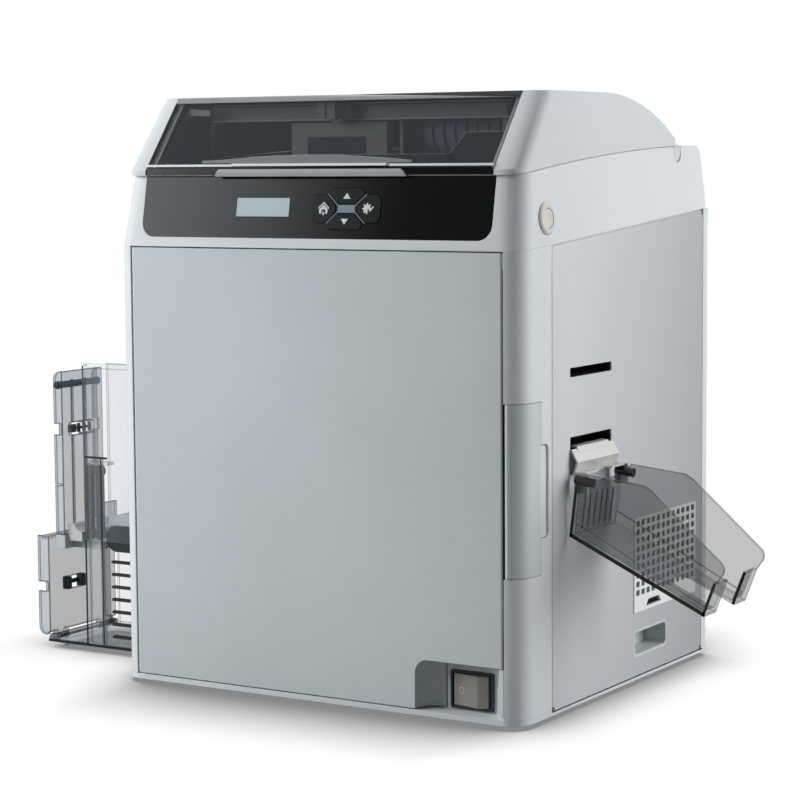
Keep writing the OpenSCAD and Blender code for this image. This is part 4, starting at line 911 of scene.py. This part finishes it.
@dataclass
class WindowView:
    """Foot and grip of the smoked window, and the mouldings that show behind it, some with painted
    shade and painted highlights.
    """

    shop: Shop
    left: float = -131.4
    right: float = 132.4
    foot_y: float = 6.15
    foot_z: float = 349.0
    lean: float = 38.1
    soften: float = 0.15
    arch_thick: float = 0.35
    lip: tuple[float, float] = (-61.8, 56.7)

    def board(
        self, name: str, outline: Outline, y: float, thick: float, finish: str, body: str = HOUSING
    ) -> None:
        """Stands a plate that faces the front behind the window.

        Args:
            name: The piece's name.
            outline: Its corners across and up, in millimetres.
            y: Distance of its back from the front of the door, in millimetres.
            thick: Its thickness in millimetres.
            finish: The finish's field name.
            body: The CAD body that it rides on.
        """
        place = Matrix.Translation(AXES.at(0, y, 0)) @ Matrix.Rotation(math.pi / 2, 4, "X")
        self.shop.piece(name, plate(outline, thick), finish, body, place)

    def beam(self, name: str, low: Point, high: Point, finish: str, body: str = HOUSING) -> None:
        """Makes a soft-edged bar between two corners in millimetres."""
        self.shop.bars(name, [(low, high)], finish, body, self.soften)

    def foot(self) -> None:
        """Makes the polished band and the ridge along the foot of the window, with a painted highlight
        on the ridge.
        """
        left, right, y, z = self.left, self.right, self.foot_y, self.foot_z
        self.beam("foot_band", (left, y - 0.65, z - 5.1), (right, y - 0.05, z - 0.4), "gloss", COVER)
        # The ridge's pale colour is a painted highlight.
        self.beam("foot_ridge", (left, y - 0.3, z + 0.4), (right, y + 1.2, z + 1.9), "painted_highlight", COVER)

    def ledge(self) -> None:
        """Makes the pale ledge with slanted ends, and the lip with a painted highlight and the groove
        along its top.
        """
        y, z = self.foot_y, self.foot_z
        rows = [
            [AXES.at(x, depth, z - drop) for x, depth in (
                (left, y - out), (right, y - out), (right, y - 0.6), (left, y - 0.6)
            )]
            for left, right, drop, out in (
                (-71.8, 67.4, 1.2, 2.0), (-73.4, 69.8, 3.2, 2.8), (-74.4, 71.8, 6.0, 2.5)
            )
        ]
        ledge = self.shop.piece("grip_ledge", loft(rows), "ledge", COVER)
        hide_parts("cover_grip")
        left, right = self.lip
        # The lip's pale colour is a painted highlight.
        self.beam("grip_lip", (left, y - 1.5, z + 0.7), (right, y + 1.4, z + 2.4), "painted_highlight", COVER)
        self.beam("grip_groove", (left, y - 1.2, z - 1.0), (right, y - 0.1, z + 0.7), "gloss", COVER)

    def arch(self) -> None:
        """Makes the hazy arch that rises on the window above the ledge."""
        rises = [
            (-88, 4.1), (-73, 4.6), (-61, 5.4), (-49, 6.5), (-33, 7.2), (-8, 7.7), (17, 7.4), (26, 6.9),
            (44, 6.0), (55, 5.3), (73, 3.9), (73, 2.6), (-88, 2.6),
        ]
        lean = math.radians(self.lean)
        outline = [(x, rise / math.cos(lean)) for x, rise in rises]
        foot = Matrix.Translation(AXES.at(0, self.foot_y, self.foot_z))
        place = foot @ Matrix.Rotation(math.pi / 2 - lean, 4, "X")
        self.shop.piece("grip_arch", plate(outline, self.arch_thick), "haze", COVER, place)

    def boards(self) -> None:
        """Makes the bent rail at the left, the step's painted shade with its painted edge highlight,
        the sill with its painted top highlight, and the painted shade of the recess.
        """
        rail = [
            (-149.5, 352), (-129.4, 384.9), (-123.4, 388.2), (-107.7, 387.1), (-107.7, 383.1),
            (-122.4, 383.5), (-126.7, 382.1), (-144.1, 352),
        ]
        self.board("left_rail", rail, 47, 1.6, "rail", COVER)
        # A dark plate paints the shade of the step, and a pale strip paints the highlight along its
        # edge.
        shade_outline = [(72, 355.4), (86, 370.2), (118, 370.3), (118, 351), (70, 351)]
        self.board("step_shade", shade_outline, 56.5, 1.5, "dim")
        edge = [(71.6, 355.4), (85.8, 370.8), (118, 370.9), (118, 370.3), (86.2, 370.2), (72.4, 355.3)]
        self.board("step_edge_highlight", edge, 55.2, 0.5, "rail")
        self.board("sill", [(-132, 350.5), (-132, 356.6), (74, 356.6), (74, 350.5)], 54, 1.5, "dim")
        # A pale strip paints the highlight along the top of the sill.
        self.beam("sill_edge_highlight", (-40, 51.9, 356.5), (72, 52.6, 357.0), "rail")
        # A dark plate paints the shade of the recess in the panel.
        recess_shade = [(-37, 357), (-37, 368.5), (8, 368.5), (8, 357)]
        self.board("panel_recess_shade", recess_shade, 57.6, 0.4, "dark")

    def beams(self) -> None:
        """Makes the painted highlights along the edges of the bars, and the ribs of the knob."""
        # Thin pale strips paint the highlights along the bars' edges.
        for number, z in enumerate((379.2, 389.6), 1):
            self.beam(f"bar_edge_highlight_{number}", (-112, 54.3, z), (118, 55.3, z + 1.0), "rail")
        ribs = ((-23.2, -17.6, "cassette"), (-15.4, -9.4, "cassette"), (-8.2, 3.4, "dim"))
        for number, (start, end, tone) in enumerate(ribs, 1):
            self.beam(f"knob_rib_{number}", (start, 48.6, 380.2), (end, 50.4, 391.2), tone)

    def build(self) -> None:
        """Makes every piece of the window."""
        self.foot()
        self.ledge()
        self.arch()
        self.boards()
        self.beams()


# ------------------------------------------------------------------ hopper and tray details
@dataclass
class HopperTrim:
    """Clip in the window of the clear tower."""

    shop: Shop
    wall_x: float = -255.0
    window_z: float = 160.5
    teeth: tuple[float, ...] = (83.0, 89.0, 95.2)
    soften: float = 0.3

    def hook(self) -> None:
        """Makes the dark hook behind the flange: its head, its stem and its teeth."""
        x, z = self.wall_x, self.window_z
        shape = bmesh.new()
        bar(shape, AXES.at(x - 4.2, 72.6, z - 2.9), AXES.at(x - 1.2, 79.5, z + 2.9), 0.5 * MM)
        rods = [((x - 3.2, 79, z - 0.9), (x - 1.4, 96.5, z + 0.9))]
        for y in self.teeth:
            rods.append(((x - 3.6, y - 0.8, z - 3.3), (x - 1.0, y + 0.8, z + 3.3)))
        for low, high in rods:
            bar(shape, AXES.at(*low), AXES.at(*high), self.soften * MM)
        self.shop.piece("tower_clip", shape, "dark")

    def build(self) -> None:
        """Makes the hook and the clear frame round it."""
        self.hook()
        x, z = self.wall_x, self.window_z
        strips = [
            ((x - 3.8, 84, z + low), (x - 0.6, 97.4, z + high))
            for low, high in ((-4.9, -3.6), (3.6, 4.9))
        ]
        self.shop.bars("tower_clip_frame", strips, "tower", soften=self.soften)


@dataclass
class ClearEdges:
    """Painted shade: dark lines where thick clear walls are seen edge on, standing in for their
    refraction shade, and the pegs of the tray.
    """

    shop: Shop
    front_y: float = 62.0
    edge_x: float = -236.0
    edge_thick: float = 0.25
    tray_x: float = 156.3
    tray_z: float = 114.9
    tray_tilt: float = 7.0
    tray_y: tuple[float, float] = (61.2, 125.2)
    tray_back: float = 32.9
    tray_foot: tuple[float, float] = (97.47, -31.39)
    lip_top: tuple[float, float] = (102.97, -9.39)
    lip_inset: float = 18.0
    line_y: tuple[float, float] = (-0.2, 0.3)
    foot_width: float = 2.4
    wall_width: float = 1.8
    peg_place: tuple[float, float] = (5.4, 36.4)
    peg_radius: float = 3.0
    peg_length: float = 12.8

    def hopper(self) -> None:
        """Makes the painted dark edges of the hopper's front wall, its channel and its floor."""
        x, back = self.edge_x, self.front_y
        front = back - self.edge_thick
        for name, low, high in (
            ("wall_edge_shade", (x - 0.2, front, 6), (x + 1.1, back, 208)),
            ("channel_edge_shade", (x + 14.8, front, 6), (x + 15.8, back, 142)),
            ("channel_top_shade", (x - 0.2, front, 141.6), (x + 21, back, 143.2)),
            ("floor_edge_shade", (x - 36, front, 4.6), (-155.5, back, 6.6)),
        ):
            self.shop.bars(name, [(low, high)], "outline")

    def tray_point(self, along: float, up: float, y: float) -> Vector:
        """Turns a point of the tray's own frame into its frame place.

        Args:
            along: Distance out along the tray's floor, in millimetres.
            up: Distance up from its floor, in millimetres.
            y: Distance from the front of the door, in millimetres.

        Returns:
            The frame place in metres.
        """
        lean = math.radians(self.tray_tilt)
        x = self.tray_x + along * math.cos(lean) + up * math.sin(lean)
        z = self.tray_z - along * math.sin(lean) + up * math.cos(lean)
        return AXES.at(x, y, z)

    def tray_line(
        self, name: str, start: tuple[float, float], end: tuple[float, float], y: float, width: float
    ) -> None:
        """Lays a thin line of painted shade on a tray wall, with its width on the left of its
        direction.

        Args:
            name: The piece's name.
            start: Its start, along and up, in millimetres.
            end: Its end, along and up, in millimetres.
            y: Distance of the wall from the front of the door, in millimetres.
            width: Its width in millimetres.
        """
        first, last = Vector(start), Vector(end)
        run = (last - first).normalized()
        side = Vector((-run.y, run.x)) * width
        corners = (first, last, last + side, first + side)
        rows = [
            [self.tray_point(corner.x, corner.y, y + out) for corner in corners]
            for out in self.line_y
        ]
        self.shop.piece(name, loft(rows), "outline")

    def peg(self, name: str, y: float) -> None:
        """Makes one dark peg of the tray.

        Args:
            name: The piece's name.
            y: Distance of its axis from the front of the door, in millimetres.
        """
        turn = Matrix.Rotation(math.pi / 2 + math.radians(self.tray_tilt), 4, "Y")
        shape = bmesh.new()
        bmesh.ops.create_cone(
            shape, cap_ends=True, segments=32, radius1=self.peg_radius * MM,
            radius2=self.peg_radius * MM, depth=self.peg_length * MM,
            matrix=Matrix.Translation(self.tray_point(*self.peg_place, y)) @ turn,
        )
        self.shop.piece(name, shape, "gloss")

    def build(self) -> None:
        """Makes every painted dark edge and both pegs."""
        self.hopper()
        front, back = self.tray_y
        foot, lip = self.tray_foot, self.lip_top
        self.tray_line("tray_foot_edge_shade", (0, 0), foot, front, self.foot_width)
        self.tray_line("tray_back_edge_shade", (0, self.tray_back), (0, 0), front, self.wall_width)
        self.tray_line("tray_front_lip_shade", foot, lip, front, self.wall_width)
        self.tray_line("tray_rear_lip_shade", foot, lip, back - self.lip_inset, self.wall_width)
        self.peg("tray_front_peg", front + 2.4)
        self.peg("tray_rear_peg", back - 4.4)


@dataclass
class CaseTrim:
    """Seams with painted shadow in their gaps, the pocket behind the handle and the mark of the rocker.
    """

    shop: Shop
    mark_place: Point = (105.0, 12.7, 19.6)
    mark_turn: float = 10.0
    mark_radius: tuple[float, float] = (1.75, 2.1)
    mark_z: tuple[float, float] = (-0.05, 0.06)

    def seams(self) -> None:
        """Makes the black strips of painted shadow in the seams, and the floor of the pocket."""
        for name, low, high, finish in (
            # Black strips paint the shadow in the gaps between door and column, between column and side
            # panel, and along the foot of the side panel.
            ("door_seam", (141.85, 0.7, 8), (142.8, 2.4, 286), "seam"),
            ("side_seam", (154.2, 39.8, 6), (154.99, 40.5, 284), "seam"),
            ("pocket_floor", (149.4, 26.5, 118.6), (153.7, 35.3, 176.4), "column"),
            ("base_seam", (154.9, 41, 5.1), (155.08, 268, 5.9), "seam"),
        ):
            self.shop.bars(name, [(low, high)], finish)

    def mark(self) -> None:
        """Makes the ring that marks the off end of the rocker."""
        (inner, outer), (foot, top) = self.mark_radius, self.mark_z
        ring = turned([(inner, foot), (outer, foot), (outer, top), (inner, top), (inner, foot)])
        turn = Matrix.Rotation(-math.radians(self.mark_turn), 4, "Z")
        place = Matrix.Translation(AXES.at(*self.mark_place)) @ turn
        upright = Matrix.Rotation(math.pi / 2, 4, "X")
        self.shop.piece("rocker_mark", ring, "mark", "rocker", place @ upright)

    def build(self) -> None:
        """Makes every trim."""
        self.seams()
        self.mark()


@dataclass
class Screws:
    """Cross-slot screws of the rear panel."""

    shop: Shop
    head: tuple[tuple[float, float], ...] = ((0, 0.55), (1.6, 0.5), (2.6, 0.2), (3, -0.4), (0, -0.4))
    sides: int = 24
    cross: Point = (3.4, 0.6, 0.8)
    cross_z: float = 0.36
    sunk: float = 0.35
    spots: tuple[tuple[float, float], ...] = (
        (-140, 30), (140, 30), (-140, 290), (140, 290), (0, 290), (0, 20)
    )

    def screw(self, name: str, place: Matrix) -> None:
        """Makes one screw head.

        Args:
            name: The piece's name.
            place: Its place, with Z outwards.
        """
        shape = turned(list(self.head), self.sides)
        centre = Vector((0, 0, self.cross_z))
        length, width, depth = self.cross
        for size in (Vector((length, width, depth)), Vector((width, length, depth))):
            bar(shape, (centre - size / 2) * MM, (centre + size / 2) * MM)
        self.shop.piece(name, shape, "bright", HOUSING, place, True)

    def build(self) -> None:
        """Makes the screws of the rear panel."""
        for number, (x, z) in enumerate(self.spots, 1):
            self.screw(f"rear_screw_{number}", AXES.back_face(x, z, -self.sunk))


# ------------------------------------------------------------------ stage
@dataclass
class Studio:
    """Floor, light and camera."""

    room: float = 0.11
    floor_radius: float = 9.0
    floor_albedo: float = 0.22
    contact_dark: float = 1.6
    contact_reach: float = 0.11
    side_reach: float = 0.05
    left_x: tuple[float, float] = (-0.12, -0.17)
    left_dark: float = 0.9
    right_x: tuple[float, float] = (0.13, 0.2)
    right_dark: float = 1.0
    darkest: float = 0.24
    front_gloss: float = 0.07
    ceiling_gloss: float = 0.18
    ceiling_rise: tuple[float, float] = (0.35, 0.8)
    right_gloss: float = 0.9
    right_turn: tuple[float, float] = (1.5, 2.1)
    left_gloss: float = 2.1
    strip_start: tuple[float, float] = (-0.57, -0.71)
    strip_fall: tuple[float, float] = (-0.76, -1.0)
    strip_far: float = 0.4
    strip_end: tuple[float, float] = (-1.7, -1.4)
    strip_top: tuple[float, float] = (0.6, 0.35)
    strip_tint: Colour = (0.78, 0.9, 1.0, 1.0)
    aim: Point = (0, 0, 0.2)
    lens: float = 107.6
    sensor: float = 36.0
    view_place: Point = (848.3, -1273.0, 353.5)
    view_turn: tuple[float, float, float] = (31.488, 5.749, -0.395)

    def floor(self) -> None:
        """Makes the white floor, which darkens only where the printer is close above it."""
        shape = bmesh.new()
        bmesh.ops.create_circle(shape, cap_ends=True, segments=96, radius=self.floor_radius)
        floor = stand("floor", shape)
        material = bpy.data.materials.new("pale_floor")
        material.use_nodes = True
        tree = Tree(material.node_tree)
        material.node_tree.nodes.remove(material.node_tree.nodes["Principled BSDF"])
        to_right, _, _ = tree.axes()
        right = tree.ease(to_right, *self.right_x)
        left = tree.ease(to_right, *self.left_x)
        reach = tree.spread(right, self.contact_reach, self.side_reach)
        reach = tree.spread(left, reach, self.side_reach)
        near = tree.add("AmbientOcclusion", {"Distance": reach}, samples=16).outputs["AO"]
        depth = tree.spread(right, self.contact_dark, self.right_dark)
        depth = tree.spread(left, depth, self.left_dark)
        dark = tree.sum("MULTIPLY", tree.sum("SUBTRACT", near, 1.0), depth)
        value = tree.sum("MAXIMUM", tree.sum("ADD", dark, 1.0), self.darkest)
        seen = tree.add("LightPath").outputs["Is Camera Ray"]
        plain = tree.add("BsdfDiffuse", {"Color": (*(self.floor_albedo,) * 3, 1.0)})
        glow = tree.add("Emission", {"Strength": value})
        mix = tree.add("MixShader", {0: seen, 1: plain.outputs["BSDF"], 2: glow.outputs["Emission"]})
        surface = material.node_tree.nodes["Material Output"]
        tree.feed(surface, {"Surface": mix.outputs["Shader"]})
        floor.data.materials.append(material)

    def world(self) -> None:
        """Lights the room: dark in front, a cool strip far left, a pale wall behind on the right."""
        world = bpy.data.worlds.new("studio")
        bpy.context.scene.world = world
        world.use_nodes = True
        tree = Tree(world.node_tree)
        to_right, to_back, to_up = tree.axes("Generated")
        around = tree.sum("ARCTAN2", to_right, tree.sum("MULTIPLY", to_back, -1.0))
        far = tree.ease(around, *self.strip_fall)
        strip = tree.ease(around, *self.strip_start)
        for share in (
            tree.spread(far, 1.0, self.strip_far),
            tree.ease(around, *self.strip_end),
            tree.ease(to_up, *self.strip_top),
        ):
            strip = tree.sum("MULTIPLY", strip, share)
        ceiling = tree.ease(to_up, *self.ceiling_rise)
        gloss = tree.spread(ceiling, self.front_gloss, self.ceiling_gloss)
        gloss = tree.spread(tree.ease(around, *self.right_turn), gloss, self.right_gloss)
        gloss = tree.spread(strip, gloss, self.left_gloss)
        rays = tree.add("LightPath").outputs
        light = tree.spread(rays["Is Glossy Ray"], self.room, gloss)
        light = tree.spread(rays["Is Camera Ray"], light, 1.0)
        shown = tree.sum("MULTIPLY", strip, rays["Is Glossy Ray"])
        colour = tree.mix(shown, WHITE, self.strip_tint)
        tree.feed(world.node_tree.nodes["Background"], {"Strength": light, "Color": colour})

    def lamp(self, name: str, place: Vector, size: float, power: float) -> None:
        """Adds a soft square lamp aimed at the printer.

        Args:
            name: The lamp's name.
            place: Where it hangs, in metres.
            size: Its side in metres.
            power: Its power in watts.
        """
        light = bpy.data.lights.new(name, "AREA")
        light.size = size
        light.energy = power
        lamp = show(name, light)
        turn = (Vector(self.aim) - place).to_track_quat("-Z", "Y").to_matrix().to_4x4()
        lamp.matrix_world = Matrix.Translation(place) @ turn
        lamp.visible_glossy = False

    def camera(self) -> None:
        """Sets the camera at its view of the printer."""
        lens = bpy.data.cameras.new("view")
        lens.lens = self.lens
        lens.sensor_width = self.sensor
        camera = show("view", lens)
        yaw, pitch, roll = (math.radians(angle) for angle in self.view_turn)
        turn = (
            Matrix.Rotation(yaw, 4, "Z")
            @ Matrix.Rotation(math.pi / 2 - pitch, 4, "X")
            @ Matrix.Rotation(roll, 4, "Z")
        )
        camera.matrix_world = Matrix.Translation(AXES.at(*self.view_place)) @ turn
        bpy.context.scene.camera = camera

    def build(self) -> None:
        """Sets the stage."""
        self.floor()
        self.world()
        self.lamp("left_light", Vector((-1.15, -0.95, 0.75)), 0.9, 28)
        self.lamp("right_light", Vector((1.6, 0.8, 0.6)), 1.6, 37)
        self.lamp("top_light", Vector((-0.1, 0.5, 2.0)), 1.4, 24)
        self.camera()
        bpy.context.scene.view_settings.view_transform = "Standard"


def main() -> None:
    """Builds and dresses the printer, part by part."""
    logging.basicConfig(level=logging.INFO, format="%(name)s: %(message)s")
    wardrobe = Wardrobe()
    wardrobe.dress_frame()
    shop = Shop(wardrobe)
    for part in (
        KeyPad, Display, CoverShell, WindowView, HopperTrim, ClearEdges, CaseTrim, Screws
    ):
        part(shop).build()
    Studio().build()


if __name__ == "__main__":
    main()
